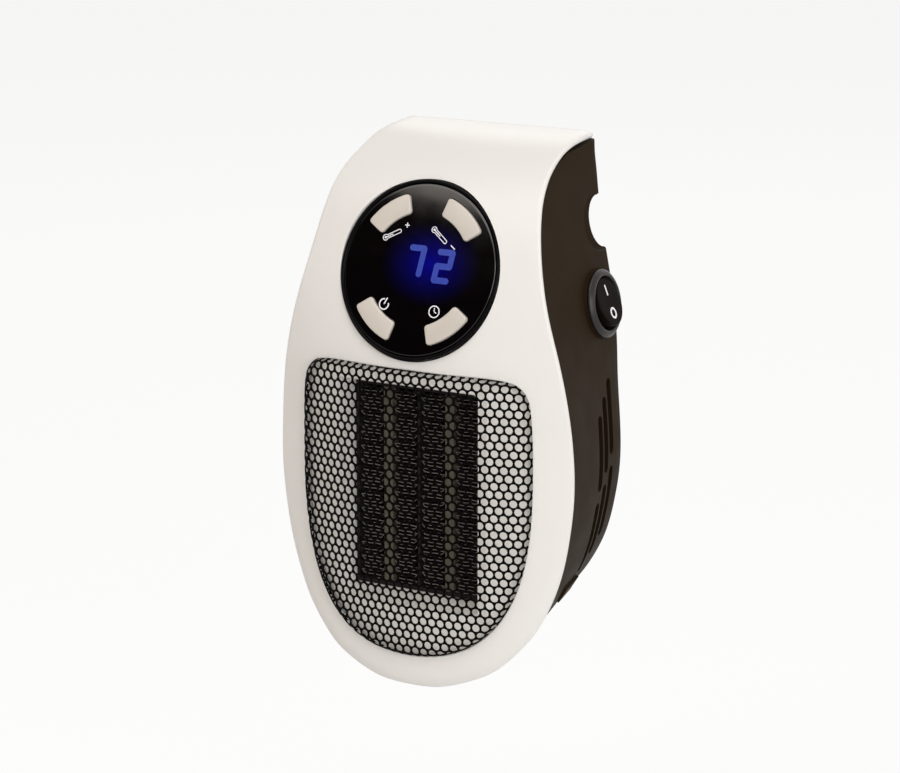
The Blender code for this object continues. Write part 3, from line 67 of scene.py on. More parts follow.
# Cover, row by row in mm: drop below the top edge, half width, how far the middle stands out from the wall,
# bow across the front per mm, and how far the housing draws in towards the wall
COVER_ROWS = (
    (0.00, 36.48, 0.99, 0.00000, -1.80),
    (0.65, 36.55, 8.60, 0.00026, -1.75),
    (1.75, 36.70, 16.60, 0.00064, -1.65),
    (3.80, 36.98, 24.50, 0.00115, -1.45),
    (7.00, 37.50, 32.00, 0.00165, -1.05),
    (12.00, 38.80, 40.60, 0.00208, -0.35),
    (17.39, 40.01, 46.04, 0.00215, 0.30),
    (29.46, 42.29, 51.74, 0.00199, 1.00),
    (41.72, 44.92, 54.84, 0.00177, 1.25),
    (54.17, 48.28, 58.18, 0.00222, 2.35),
    (66.80, 51.81, 60.48, 0.00283, 4.50),
    (79.97, 54.61, 61.74, 0.00324, 6.75),
    (99.74, 56.77, 62.05, 0.00350, 7.56),
    (113.09, 57.00, 62.20, 0.00354, 7.83),
    (126.64, 55.69, 62.15, 0.00356, 8.51),
    (140.36, 53.01, 61.97, 0.00356, 9.58),
    (151.52, 49.08, 61.90, 0.00360, 11.07),
    (162.14, 43.21, 61.85, 0.00360, 12.42),
    (167.81, 38.42, 61.85, 0.00360, 12.82),
    (174.22, 31.52, 61.85, 0.00360, 13.09),
    (179.16, 21.72, 61.85, 0.00360, 13.37),
    (182.09, 12.48, 61.85, 0.00360, 13.50),
    (183.00, 0.00, 61.85, 0.00360, 13.50),
)
WIDEST_ROW = 13

# Rounding of the cover's rim. Fall of the roof beside its side edges: its width, its share, and how far
# along the side it fades. Bend of the lower rim towards the wall: how much, how near the edge, and how far
# below the widest row it comes in. Step of the housing inside the rim.
RIM_ROUND = 0.9 * MM
ROOF_CORNER = 3.0 * MM
ROOF_SAG_SHARE = 0.4
ROOF_FADE = 36.0 * MM
RIM_DROP = 1.3 * MM
RIM_REACH = 3.5 * MM
RIM_FADE = 45.0 * MM
SEAT = 0.8 * MM

# Grille: top, half width and height of its opening, how far it stands out from the line of the cover and
# bulges in the middle, and the straight part of its turned-back edge
GRILLE_TOP = -52.5 * MM
GRILLE_HALF = 44.0 * MM
GRILLE_TALL = 97.3 * MM
GRILLE_STAND = 2.4 * MM
GRILLE_PUFF = 0.6 * MM
GRILLE_SKIRT = 0.8 * MM

# Half of the opening's outline from the top to the bottom, in shares of its half width and height
GRILLE_OUTLINE = (
    (0.00, 0.000),
    (0.40, 0.001),
    (0.78, 0.006),
    (0.89, 0.020),
    (0.955, 0.052),
    (0.985, 0.110),
    (1.00, 0.300),
    (0.995, 0.450),
    (0.96, 0.600),
    (0.89, 0.725),
    (0.78, 0.828),
    (0.62, 0.912),
    (0.40, 0.970),
    (0.20, 0.993),
    (0.00, 1.000),
)


def axes(origin, across, up, out):
    """A frame from its origin in mm and its three directions."""
    turn = Matrix((across, up, out)).transposed().to_4x4()
    return Matrix.Translation(Vector(origin) * MM) @ turn


# Frames on the control disc and on the right side: origin in mm, then the directions across, up and out
DISC = axes((0, -53.66, -20.1), (1, 0, 0), (0, 0.30237, 0.95319), (0, -0.95319, 0.30237))
SWITCH = axes(
    (46.95, -13.1, -33.6),
    (-0.05152, 0.99863, -0.00947),
    (-0.18076, 0, 0.98353),
    (0.98218, 0.05239, 0.18052),
)
SCOOP = axes(
    (39.797, -5.6, -8.0),
    (-0.02895, 0.99957, -0.00449),
    (-0.15342, 0, 0.98816),
    (0.98774, 0.02929, 0.15335),
)
TAB = axes(
    (42.17, -28.355, -128.731),
    (-0.17208, 0.97884, 0.1107),
    (0.54102, 0, 0.84101),
    (0.82322, 0.20461, -0.52957),
)
SWITCH_SEAT = SWITCH @ Matrix.Translation((0, 0, -0.8 * MM))

# Places seen from the front, in mm: the fan's middle, and the screws as (x, z)
FAN_X = -3.6
FAN_Z = -96.45
SCREW_PLACES = {
    "screw_upper_right": (38.0, -50.4),
    "screw_upper_left": (-38.0, -50.4),
    "screw_lower_right": (19.5, -127.0),
    "screw_lower_left": (-19.5, -127.0),
}

# Where each key lies round the disc, in degrees from its right
KEY_TURNS = {"temp_up": 127, "temp_down": 53, "power": -127, "timer": -53}


def size_property(name, description, default):
    return FloatProperty(name=name, description=description, default=default, unit="LENGTH", precision=5)


def colour_property(name, description, default):
    return FloatVectorProperty(name=name, description=description, default=default, size=3, subtype="COLOR")


class HeaterSizes(bpy.types.PropertyGroup):
    """Sizes that can be changed without changing the frame."""

    wall: size_property("Wall", "Thickness of the cover and the housing", 0.002)
    lip: size_property("Lip", "Rounding of the cover's edges", 0.0005)
    disc_radius: size_property("Disc radius", "Radius of the control disc", 0.0286)
    hole_pitch: size_property("Hole pitch", "Distance between the grille's holes", 0.00314)
    hole_width: size_property("Hole width", "Width of the grille's holes", 0.00263)
    sheet: size_property("Sheet", "Thickness of the grille's sheet", 0.0004)
    curl: size_property("Curl", "Radius of the grille's turned-back edge", 0.0022)
    fin_pitch: size_property("Fin pitch", "Distance between the element's fins", 0.0012)
    fin_wall: size_property("Fin wall", "Thickness of the element's fins", 0.0002)


class HeaterColours(bpy.types.PropertyGroup):
    """Colours of the finishes."""

    cover: colour_property("Cover", "Warm white gloss plastic", (0.665, 0.655, 0.648))
    housing: colour_property("Housing", "Dark brown-black plastic", (0.0185, 0.0115, 0.0058))
    disc: colour_property("Disc", "Piano black of the control disc", (0.0012, 0.0007, 0.0009))
    keys: colour_property("Keys", "Ivory of the keys", (0.50, 0.465, 0.425))
    trim: colour_property("Trim", "Black of the switch and the plug", (0.016, 0.014, 0.014))
    rocker: colour_property("Rocker", "Deep black of the rocker", (0.0042, 0.0026, 0.0018))
    grille: colour_property("Grille", "Black paint of the grille", (0.0015, 0.0010, 0.0008))
    pan: colour_property("Pan", "White of the plate behind the grille", (0.97, 0.955, 0.93))
    fins: colour_property("Fins", "Dull metal of the element's fins", (0.26, 0.24, 0.23))
    heater_stone: colour_property("Heating strip", "Olive grey of the strips", (0.105, 0.097, 0.068))
    digits: colour_property("Digits", "Blue of the display", (0.017, 0.043, 0.30))
    marks: colour_property("Marks", "Pale print of the marks", (0.75, 0.75, 0.80))
    brass: colour_property("Brass", "Blades and terminals", (0.72, 0.55, 0.25))
    steel: colour_property("Steel", "Screws, shaft and motor", (0.58, 0.58, 0.60))
    copper: colour_property("Copper", "Enamelled winding", (0.70, 0.33, 0.16))
    board: colour_property("Board", "Green of the circuit boards", (0.03, 0.17, 0.07))


def sizes():
    return bpy.context.scene.heater_sizes


def colours():
    return bpy.context.scene.heater_colours


# Shape of the cover


def spline(knots, values, places):
    """A natural cubic spline through values at knots, read at places."""
    gaps = np.diff(knots)
    count = len(knots)
    system = np.eye(count)
    right = np.zeros(count)
    for n in range(1, count - 1):
        system[n, n - 1 : n + 2] = gaps[n - 1], 2 * (gaps[n - 1] + gaps[n]), gaps[n]
        right[n] = 6 * ((values[n + 1] - values[n]) / gaps[n] - (values[n] - values[n - 1]) / gaps[n - 1])
    bend = np.linalg.solve(system, right)
    cell = np.clip(np.searchsorted(knots, places) - 1, 0, count - 2)
    width = gaps[cell]
    a = (knots[cell + 1] - places) / width
    b = 1 - a
    curve = a * values[cell] + b * values[cell + 1]
    return curve + ((a**3 - a) * bend[cell] + (b**3 - b) * bend[cell + 1]) * width**2 / 6


def chords(points):
    return np.concatenate([[0], np.cumsum(np.linalg.norm(np.diff(points, axis=0), axis=1))])


def dense_rows(count=1600):
    """The cover's rows as smooth curves in metres, then the way along them and each row's place on it."""
    rows = np.array(COVER_ROWS)
    beyond = rows[-4:-1][::-1] * (1, -1, 1, 1, 1)
    full = np.vstack([rows, beyond])
    knots = chords(full[:, :3])
    places = np.linspace(0, knots[len(rows) - 1], count)
    columns = [spline(knots, full[:, n], places) for n in range(5)]
    units = (MM, MM, MM, 1 / MM, MM)
    return [column * unit for column, unit in zip(columns, units)] + [places * MM, knots * MM]


DROP, HALF, FRONT, BOW, DRAFT, WAY, ROW_WAYS = dense_rows()
HALF[-1] = 0
FALL = np.gradient(DROP, WAY)
SPREAD = np.gradient(HALF, WAY)


def front_y(x, z):
    """Y of the cover's outer face at a place seen from the front."""
    drop = TOP - z
    return -(np.interp(drop, DROP, FRONT) - np.interp(drop, DROP, BOW) * x * x)


def front_normal(x, z):
    step = 0.3 * MM
    over_x = (front_y(x + step, z) - front_y(x - step, z)) / (2 * step)
    over_z = (front_y(x, z + step) - front_y(x, z - step)) / (2 * step)
    return Vector((over_x, -1, over_z)).normalized()


def behind_front(x, z, depth):
    point = Vector((x, front_y(x, z), z))
    return point - front_normal(x, z) * depth


def at_way(way):
    """Place number in the dense rows of a distance along the side, as a fraction."""
    return np.interp(way, WAY, np.arange(len(WAY)))


def read(column, way):
    return float(np.interp(way, WAY, column))


def inside_side(way, inset):
    """A point inside the cover's outline, as (x, z)."""
    fall = read(FALL, way)
    spread = read(SPREAD, way)
    size = math.hypot(fall, spread)
    x = read(HALF, way) - inset * fall / size
    z = TOP - read(DROP, way) - inset * spread / size
    return max(x, 0.0), z


# Making pieces

# Distances in metres below which corners become one
SEAM = 0.00001
FINE_SEAM = 0.000005
COVER_SEAM = 0.00003
GRILLE_SEAM = 0.00002
GRILLE_SNAP = 0.000001


def pieces_collection():
    group = bpy.data.collections.get("heater_pieces")
    if group is None:
        group = bpy.data.collections.new("heater_pieces")
        bpy.context.scene.collection.children.link(group)
    return group


def object_of(name, shape):
    mesh = bpy.data.meshes.new(name)
    shape.to_mesh(mesh)
    shape.free()
    item = bpy.data.objects.new(name, mesh)
    pieces_collection().objects.link(item)
    return item


def settle(item):
    """Turns the modifiers into mesh."""
    bpy.context.view_layer.update()
    graph = bpy.context.evaluated_depsgraph_get()
    mesh = bpy.data.meshes.new_from_object(item.evaluated_get(graph))
    item.modifiers.clear()
    old = item.data
    item.data = mesh
    bpy.data.meshes.remove(old)


def carve(item, shape, operation="DIFFERENCE"):
    """Cuts or joins a bmesh into an object, for good."""
    tool = object_of("tool", shape)
    step = item.modifiers.new("carve", "BOOLEAN")
    step.operation = operation
    step.solver = "EXACT"
    step.object = tool
    settle(item)
    mesh = tool.data
    bpy.data.objects.remove(tool)
    bpy.data.meshes.remove(mesh)


def thicken(item, depth):
    step = item.modifiers.new("wall", "SOLIDIFY")
    step.thickness = depth
    step.offset = -1
    step.use_even_offset = True
    settle(item)


def soften(item, width, segments=2, angle=40):
    """Rounds the sharp edges with a modifier that stays on the piece."""
    step = item.modifiers.new("soft edges", "BEVEL")
    step.width = width
    step.segments = segments
    step.limit_method = "ANGLE"
    step.angle_limit = math.radians(angle)
    step.use_clamp_overlap = True


def dress(item, material, body, replaced=(), angle=35):
    """Shading, finish, and the body that the piece rides on."""
    item.data.materials.clear()
    item.data.materials.append(material)
    item.data.shade_smooth()
    item.data.set_sharp_from_angle(angle=math.radians(angle))
    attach(item, body)
    if replaced:
        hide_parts(*replaced)
    return item


def tidy_shape(shape, outward=None, near=SEAM):
    """Closes seams and turns the faces outwards."""
    bmesh.ops.remove_doubles(shape, verts=shape.verts, dist=near)
    bmesh.ops.recalc_face_normals(shape, faces=shape.faces)
    if outward is not None:
        lean = sum((face.normal * face.calc_area() for face in shape.faces), Vector())
        if lean.dot(Vector(outward)) < 0:
            bmesh.ops.reverse_faces(shape, faces=shape.faces)
    return shape


def draped(shape, columns, rows, place):
    """Adds a grid whose crossing (column, row) goes to place(column, row)."""
    made = bmesh.ops.create_grid(shape, x_segments=columns, y_segments=rows, size=0.5)
    for corner in made["verts"]:
        column = round((corner.co.x + 0.5) * columns)
        row = round((corner.co.y + 0.5) * rows)
        corner.co = place(column, row)
    return made["verts"]


def placed(shape, place):
    """Takes a whole shape to its frame."""
    bmesh.ops.transform(shape, matrix=place, verts=shape.verts)
    return shape


def turned(profile, place, steps=64, closed=False):
    """A profile of (radius, height) in mm, spun round the Z axis of place."""
    shape = bmesh.new()
    line = [shape.verts.new((radius * MM, 0, height * MM)) for radius, height in profile]
    edges = [shape.edges.new(pair) for pair in zip(line, line[1:])]
    if closed:
        edges.append(shape.edges.new((line[-1], line[0])))
    bmesh.ops.spin(
        shape, geom=line + edges, cent=(0, 0, 0), axis=(0, 0, 1), angle=math.tau, steps=steps, use_merge=True
    )
    return placed(tidy_shape(shape), place)


def rounded(corners, radius, steps=4):
    """A profile in mm with its inner corners rounded by arcs."""
    smooth = [corners[0]]
    for before, corner, after in zip(corners, corners[1:], corners[2:]):
        a, b, c = Vector(before), Vector(corner), Vector(after)
        reach = min(radius, (a - b).length / 2.01, (c - b).length / 2.01)
        start = b + (a - b).normalized() * reach
        end = b + (c - b).normalized() * reach
        for n in range(steps + 1):
            part = n / steps
            smooth.append(tuple(start.lerp(b, part).lerp(b.lerp(end, part), part)))
    smooth.append(corners[-1])
    return smooth


def raised(shape, height):
    """Gives a flat shape its height along Z, in metres."""
    lifted = bmesh.ops.extrude_face_region(shape, geom=list(shape.faces))
    corners = [part for part in lifted["geom"] if isinstance(part, bmesh.types.BMVert)]
    bmesh.ops.translate(shape, vec=(0, 0, height), verts=corners)
    bmesh.ops.recalc_face_normals(shape, faces=shape.faces)
    return shape


def rounded_off(shape, geometry, width, affect="EDGES", clamp_overlap=False):
    bmesh.ops.bevel(
        shape,
        geom=geometry,
        offset=width,
        segments=4,
        profile=0.5,
        affect=affect,
        clamp_overlap=clamp_overlap,
        material=-1,
    )


def prism(outline, low, high, place):
    """A flat outline in mm, carried along the Z axis of place from low to high in mm."""
    shape = bmesh.new()
    shape.faces.new([shape.verts.new((x * MM, y * MM, low * MM)) for x, y in outline])
    return placed(raised(shape, (high - low) * MM), place)


def rod(radius, low, high, place, steps=32):
    """A round bar along the Z axis of place, in mm."""
    shape = bmesh.new()
    radius *= MM
    bmesh.ops.create_cone(
        shape, cap_ends=True, segments=steps, radius1=radius, radius2=radius, depth=(high - low) * MM
    )
    bmesh.ops.translate(shape, vec=(0, 0, (high + low) / 2 * MM), verts=shape.verts)
    return placed(shape, place)


def block(low, high, place=Matrix()):
    """A box between two corners in mm."""
    shape = bmesh.new()
    bmesh.ops.create_cube(shape, size=1)
    low = Vector(low) * MM
    high = Vector(high) * MM
    bmesh.ops.scale(shape, vec=high - low, verts=shape.verts)
    bmesh.ops.translate(shape, vec=(high + low) / 2, verts=shape.verts)
    return placed(shape, place)


def gathered(shapes):
    """Several bmeshes as one."""
    whole = bmesh.new()
    for shape in shapes:
        mesh = bpy.data.meshes.new("part")
        shape.to_mesh(mesh)
        shape.free()
        whole.from_mesh(mesh)
        bpy.data.meshes.remove(mesh)
    return whole


def to_wall(x, y, z):
    """A frame with its Z axis into the wall, at a place in mm."""
    return axes((x, y, z), (1, 0, 0), (0, 0, -1), (0, 1, 0))


def other_side(place):
    """The same frame on the left side."""
    return Matrix.Diagonal((-1, 1, 1, 1)) @ place @ Matrix.Diagonal((1, -1, 1, 1))


def stadium(width, length, steps=8):
    """A slot with round ends, in mm, with its length along Y."""
    radius = width / 2
    reach = length / 2 - radius
    points = []
    for end, start in ((reach, 0), (-reach, math.pi)):
        for n in range(steps + 1):
            turn = start + math.pi * n / steps
            points.append((radius * math.cos(turn), end + radius * math.sin(turn)))
    return points


def copy_of(node):
    """A merged copy of a CAD node's mesh."""
    shape = bmesh.new()
    shape.from_mesh(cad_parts[node].data)
    bmesh.ops.remove_doubles(shape, verts=shape.verts, dist=FINE_SEAM)
    return shape


def keep(kind, *nodes):
    """Gives CAD nodes that stay their finish."""
    for node in nodes:
        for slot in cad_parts[node].material_slots:
            slot.material = finish(kind)


# Finishes

# Plastics and paints: colour, roughness, waves of grain per metre, depth of the grain in metres, how uneven
# the tone and the gloss are, and shine
PLASTICS = {
    "gloss_white": ("cover", 0.28, 1500.0, 0.00002, 0.004, 0.004, 0.12),
    "satin_dark": ("housing", 0.56, 2600.0, 0.00006, 0.10, 0.04, 0.04),
    "trim_black": ("trim", 0.36, 2200.0, 0.00003, 0.08, 0.04, 0.25),
    "rocker_black": ("rocker", 0.42, 2200.0, 0.00003, 0.08, 0.04, 0.02),
    "ring_black": ("disc", 0.30, 2200.0, 0.00002, 0.08, 0.04, 0.07),
    "key_ivory": ("keys", 0.36, 1800.0, 0.00002, 0.02, 0.02, 0.35),
    "grille_paint": ("grille", 0.50, 1600.0, 0.00003, 0.10, 0.04, 0.03),
    "pan_white": ("pan", 0.40, 1500.0, 0.00003, 0.015, 0.04, 0.5),
    "stone": ("heater_stone", 0.70, 900.0, 0.00008, 0.15, 0.04, 0.5),
    "fan_ivory": ("keys", 0.45, 1500.0, 0.00003, 0.03, 0.04, 0.5),
    "part_black": ("trim", 0.55, 1500.0, 0.00004, 0.10, 0.04, 0.15),
    "print_pale": ("marks", 0.55, 1500.0, 0.00001, 0.02, 0.04, 0.5),
    "board": ("board", 0.42, 700.0, 0.00003, 0.15, 0.04, 0.5),
}
TONE_WAVES = 55.0
GLOSS_WAVES = 90.0

# Metals with drawn lines: roughness
METALS = {"brass": 0.28, "steel": 0.34, "copper": 0.30}
LINE_WAVES = 900.0
LINE_STRETCH = (1, 1, 12)
LINE_TONE = 0.12

# Fins: painted shade, near black, behind their front edge, of which the place along Y and the depth are
# given
FIN_FRONT = -47.7 * MM
FIN_EDGE = 0.5 * MM
FIN_WAVES = 700.0
FIN_PAINTED_SHADE = (0.003, 0.0025, 0.002)
FIN_SHINE = 0.08

# Glow on the disc round the lit digits, in mm from the disc's middle
GLOW_MIDDLE = (4.2, 2.2, 0)
GLOW_REACH = (20, 16, 15)
GLOW_COLOUR = (0.001, 0.001, 0.20)


def new_finish(name):
    made = bpy.data.materials.new(name)
    made.use_nodes = True
    tree = made.node_tree
    place = tree.nodes.new("ShaderNodeTexCoord")
    return made, tree, tree.nodes["Principled BSDF"], place.outputs["Object"]


def noise(tree, place, waves, detail=3.0, stretch=None):
    node = tree.nodes.new("ShaderNodeTexNoise")
    node.inputs["Scale"].default_value = waves
    node.inputs["Detail"].default_value = detail
    if stretch:
        mapping = tree.nodes.new("ShaderNodeMapping")
        mapping.inputs["Scale"].default_value = stretch
        tree.links.new(place, mapping.inputs["Vector"])
        place = mapping.outputs["Vector"]
    tree.links.new(place, node.inputs["Vector"])
    return node.outputs["Fac"]


def ranged(tree, value, low, high, start=0.3, end=0.7):
    """A value between start and end, spread from low to high."""
    node = tree.nodes.new("ShaderNodeMapRange")
    for name, number in (("From Min", start), ("From Max", end), ("To Min", low), ("To Max", high)):
        node.inputs[name].default_value = number
    tree.links.new(value, node.inputs["Value"])
    return node.outputs["Result"]


def blended(tree, factor, one, other):
    node = tree.nodes.new("ShaderNodeMix")
    node.data_type = "RGBA"
    tree.links.new(factor, node.inputs["Factor"])
    for socket, colour in ((node.inputs["A"], one), (node.inputs["B"], other)):
        if isinstance(colour, bpy.types.NodeSocket):
            tree.links.new(colour, socket)
        else:
            socket.default_value = (*colour, 1)
    return node.outputs["Result"]


def bumped(tree, height, strength, distance):
    node = tree.nodes.new("ShaderNodeBump")
    node.inputs["Strength"].default_value = strength
    node.inputs["Distance"].default_value = distance
    tree.links.new(height, node.inputs["Height"])
    return node.outputs["Normal"]


def scaled(colour, share):
    return tuple(min(1.0, share * part) for part in colour)


def plastic(name, colour, roughness, grain, depth, uneven_tone, uneven_gloss, shine):
    """Moulded plastic: a faint uneven tone, a fine grain in relief and a gloss that varies a little."""
    made, tree, shader, place = new_finish(name)
    dark, light = scaled(colour, 1 - uneven_tone), scaled(colour, 1 + uneven_tone)
    tree.links.new(blended(tree, noise(tree, place, TONE_WAVES), dark, light), shader.inputs["Base Color"])
    gloss = noise(tree, place, GLOSS_WAVES, 1.0)
    gloss = ranged(tree, gloss, roughness - uneven_gloss, roughness + uneven_gloss)
    tree.links.new(gloss, shader.inputs["Roughness"])
    relief = noise(tree, place, grain, 2.0)
    tree.links.new(bumped(tree, relief, 0.5, depth), shader.inputs["Normal"])
    shader.inputs["Specular IOR Level"].default_value = shine
    return made


def fin_metal(name, colour):
    """Dull metal at the front edge, with painted shade darkening it further back."""
    made, tree, shader, place = new_finish(name)
    parts = tree.nodes.new("ShaderNodeSeparateXYZ")
    tree.links.new(place, parts.inputs["Vector"])
    # Painted shade: the fins fade to near black behind their front edge, deeper into the element
    painted_shade = ranged(tree, parts.outputs["Y"], 0.0, 1.0, FIN_FRONT, FIN_FRONT + FIN_EDGE)
    uneven = noise(tree, place, FIN_WAVES, 4.0)
    unshaded = blended(tree, uneven, scaled(colour, 0.6), scaled(colour, 1.2))
    tree.links.new(blended(tree, painted_shade, unshaded, FIN_PAINTED_SHADE), shader.inputs["Base Color"])
    tree.links.new(ranged(tree, uneven, 0.42, 0.60), shader.inputs["Roughness"])
    tree.links.new(bumped(tree, uneven, 0.3, 0.00003), shader.inputs["Normal"])
    shader.inputs["Specular IOR Level"].default_value = FIN_SHINE
    return made


def metal(name, colour, roughness):
    """Metal with fine drawn lines."""
    made, tree, shader, place = new_finish(name)
    lines = noise(tree, place, LINE_WAVES, 4.0, LINE_STRETCH)
    dark, light = scaled(colour, 1 - LINE_TONE), scaled(colour, 1 + LINE_TONE)
    tree.links.new(blended(tree, ranged(tree, lines, 0.0, 1.0), dark, light), shader.inputs["Base Color"])
    tree.links.new(ranged(tree, lines, roughness - 0.06, roughness + 0.08), shader.inputs["Roughness"])
    tree.links.new(bumped(tree, lines, 0.25, 0.00003), shader.inputs["Normal"])
    shader.inputs["Metallic"].default_value = 1.0
    return made


def finish(kind):
    """The finish of that kind, made once."""
    name = f"{kind}_finish"
    made = bpy.data.materials.get(name)
    if made:
        return made
    tints = colours()
    if kind == "fin_metal":
        return fin_metal(name, tints.fins)
    if kind in METALS:
        return metal(name, getattr(tints, kind), METALS[kind])
    tint, *values = PLASTICS[kind]
    return plastic(name, getattr(tints, tint), *values)


def piano_black():
    """High-gloss black with a faint navy glow round the lit digits."""
    made, tree, shader, place = new_finish("piano_black")
    mapping = tree.nodes.new("ShaderNodeMapping")
    centre = DISC @ (Vector(GLOW_MIDDLE) * MM)
    reach = Vector(GLOW_REACH) * MM
    mapping.inputs["Location"].default_value = tuple(-centre[n] / reach[n] for n in range(3))
    mapping.inputs["Scale"].default_value = tuple(1 / part for part in reach)
    glow = tree.nodes.new("ShaderNodeTexGradient")
    glow.gradient_type = "QUADRATIC_SPHERE"
    tree.links.new(place, mapping.inputs["Vector"])
    tree.links.new(mapping.outputs["Vector"], glow.inputs["Vector"])
    navy = blended(tree, glow.outputs["Fac"], (0, 0, 0), GLOW_COLOUR)
    tree.links.new(navy, shader.inputs["Emission Color"])
    shader.inputs["Emission Strength"].default_value = 1.0
    haze = noise(tree, place, 120.0)
    black = colours().disc
    tree.links.new(blended(tree, haze, black, scaled(black, 1.5)), shader.inputs["Base Color"])
    tree.links.new(ranged(tree, haze, 0.06, 0.10), shader.inputs["Roughness"])
    return made


def lit_blue():
    """The display's blue, slightly uneven."""
    made, tree, shader, place = new_finish("lit_blue")
    blue = colours().digits
    uneven = noise(tree, place, 600.0)
    lit = blended(tree, uneven, scaled(blue, 0.85), scaled(blue, 1.1))
    tree.links.new(lit, shader.inputs["Emission Color"])
    shader.inputs["Emission Strength"].default_value = 1.0
    unlit = blended(tree, uneven, (0.01, 0.01, 0.05), (0.02, 0.02, 0.08))
    tree.links.new(unlit, shader.inputs["Base Color"])
    shader.inputs["Roughness"].default_value = 0.2
    return made


# Cover and housing, with radii and places in mm where no unit is given

ACROSS = [n / 24 for n in range(25)]
UPPER_ROWS = 76
LOWER_RAYS = 120
POST_RADIUS = 3.1
POST_END = -7.3
PILOT_HOLE = (1.8, -16, -3)
GRILLE_ROOM = 0.3 * MM
GRILLE_CUT = (-66, -31)
DISC_CUT = (30.4, -9.5, 3.5)


def cover_sheet():
    """The cover's outer face: rows above the widest line, rays round its middle below it."""
    shape = bmesh.new()
    middle = float(ROW_WAYS[WIDEST_ROW])
    shares = [-share for share in reversed(ACROSS[1:])] + ACROSS

    def upper(column, row):
        way = middle * row / UPPER_ROWS
        x = shares[column] * read(HALF, way)
        z = TOP - read(DROP, way)
        past = max(0.0, abs(x) - read(HALF, way) + ROOF_CORNER)
        sag = ROOF_SAG_SHARE * past**2 / ROOF_CORNER * max(0.0, 1 - way / ROOF_FADE) ** 2
        return x, float(front_y(x, z)), z - sag

    draped(shape, len(shares) - 1, UPPER_ROWS, upper)
    start = int(at_way(middle))
    z_middle = TOP - read(DROP, middle)
    below = np.arange(start, len(WAY))
    turn = np.arctan2(TOP - DROP[below] - z_middle, HALF[below])
    size = np.hypot(TOP - DROP[below] - z_middle, HALF[below])

    def lower(column, row):
        angle = -math.pi * row / LOWER_RAYS
        reach = float(np.interp(math.pi / 2 - abs(math.pi / 2 + angle), -turn, size))
        reach = read(HALF, middle) if row in (0, LOWER_RAYS) else reach
        share = ACROSS[column]
        x = share * reach * math.cos(angle)
        z = z_middle + share * reach * math.sin(angle)
        near = max(0.0, 1 - (1 - share) * reach / RIM_REACH)
        fade = min(1.0, max(0.0, (z_middle - z) / RIM_FADE))
        return x, float(front_y(x, z)) + RIM_DROP * near**2 * fade**2 * (3 - 2 * fade), z

    draped(shape, len(ACROSS) - 1, LOWER_RAYS, lower)
    return tidy_shape(shape, (0, -1, 0), COVER_SEAM)


def grille_loop(grow=0.0, count=180):
    """The grille's outline as a smooth closed loop of (x, z), grown outwards, in metres."""
    half = np.array(GRILLE_OUTLINE) * (GRILLE_HALF, -GRILLE_TALL) + (0, GRILLE_TOP)
    flip = half * (-1, 1)
    full = np.vstack([half, flip[::-1][1:]])
    long = np.vstack([full[-4:-1], full, full[1:4]])
    knots = chords(long)
    places = np.linspace(knots[3], knots[-4], count + 1)[:-1]
    loop = np.stack([spline(knots, long[:, 0], places), spline(knots, long[:, 1], places)], axis=1)
    along = np.roll(loop, -1, axis=0) - np.roll(loop, 1, axis=0)
    along /= np.linalg.norm(along, axis=1)[:, None]
    return loop + np.stack([-along[:, 1], along[:, 0]], axis=1) * grow


def front_prism(loop, low, high):
    """A loop of (x, z) in metres, carried along Y between two places in mm."""
    flipped = [(x / MM, -z / MM) for x, z in loop]
    return prism(flipped, low, high, to_wall(0, 0, 0))


def round_rim(item):
    """Rounds the sharp edges of a plain shell."""
    shape = bmesh.new()
    shape.from_mesh(item.data)
    sharp = math.radians(60)
    rim = [edge for edge in shape.edges if edge.is_manifold and edge.calc_face_angle() > sharp]
    rounded_off(shape, rim, RIM_ROUND, clamp_overlap=True)
    shape.to_mesh(item.data)
    shape.free()


def build_cover():
    cover = object_of("cover_shell", cover_sheet())
    thicken(cover, sizes().wall)
    round_rim(cover)
    upper_screws = [place for name, place in SCREW_PLACES.items() if "upper" in name]
    posts = []
    for x, z in upper_screws:
        start = behind_front(x * MM, z * MM, sizes().wall / 2).y / MM
        posts.append(rod(POST_RADIUS, start, POST_END, to_wall(x, 0, z), 24))
    carve(cover, gathered(posts), "UNION")
    cuts = [front_prism(grille_loop(GRILLE_ROOM), *GRILLE_CUT), rod(*DISC_CUT, DISC, 96)]
    cuts += [rod(*PILOT_HOLE, to_wall(x, 0, z), 16) for x, z in upper_screws]
    carve(cover, gathered(cuts))
    soften(cover, sizes().lip, 3)
    dress(cover, finish("gloss_white"), "heater", ["front_cover"])


# Housing: steps along a line of its skin, its rear face, and the recess in which the plug's disc turns
SIDE_STEPS, ARC_STEPS, BACK_STEPS = 12, 5, 14
CORNER = 2.5 * MM
BACK = -1.0
HOUSING_TOP = 2.8 * MM
HOUSING_DROPS = (5.4 * MM, 40.0 * MM)
RECESS_DROPS = (4.9 * MM, 38.4 * MM)
RECESS_FLOOR = -4.5
RECESS_SLAB_END = -1.5
PAST_BACK = 3

# What is added to the housing and cut from it: boxes between two corners, and rods as radius, low and high
SCOOP_PAD = ((-11, -11, -6.6), (4.3, 11, -0.55))
SCOOP_DISH = (9.8, 10.0, 5.2)
TAB_BLOCK = ((-6, -3, -1), (6, 3, 1.1))
SWITCH_PAD = (11.7, -4, 0.5)
SWITCH_HOLE = (10.2, -7, 3.5)
SCREW_BOSS = (4.7, -6, -1)
SCREW_HOLE = ((0, 3), (3.2, 3), (3.2, -3.1), (1.8, -3.1), (1.8, -9), (0, -9))
BOARD_POST = (2, -16.7, -1)
BOARD_POST_PLACES = [(x, z) for x in (-28, 12) for z in (-47, -25)]
PLUG_HOLE = (9.5, -5, PAST_BACK)

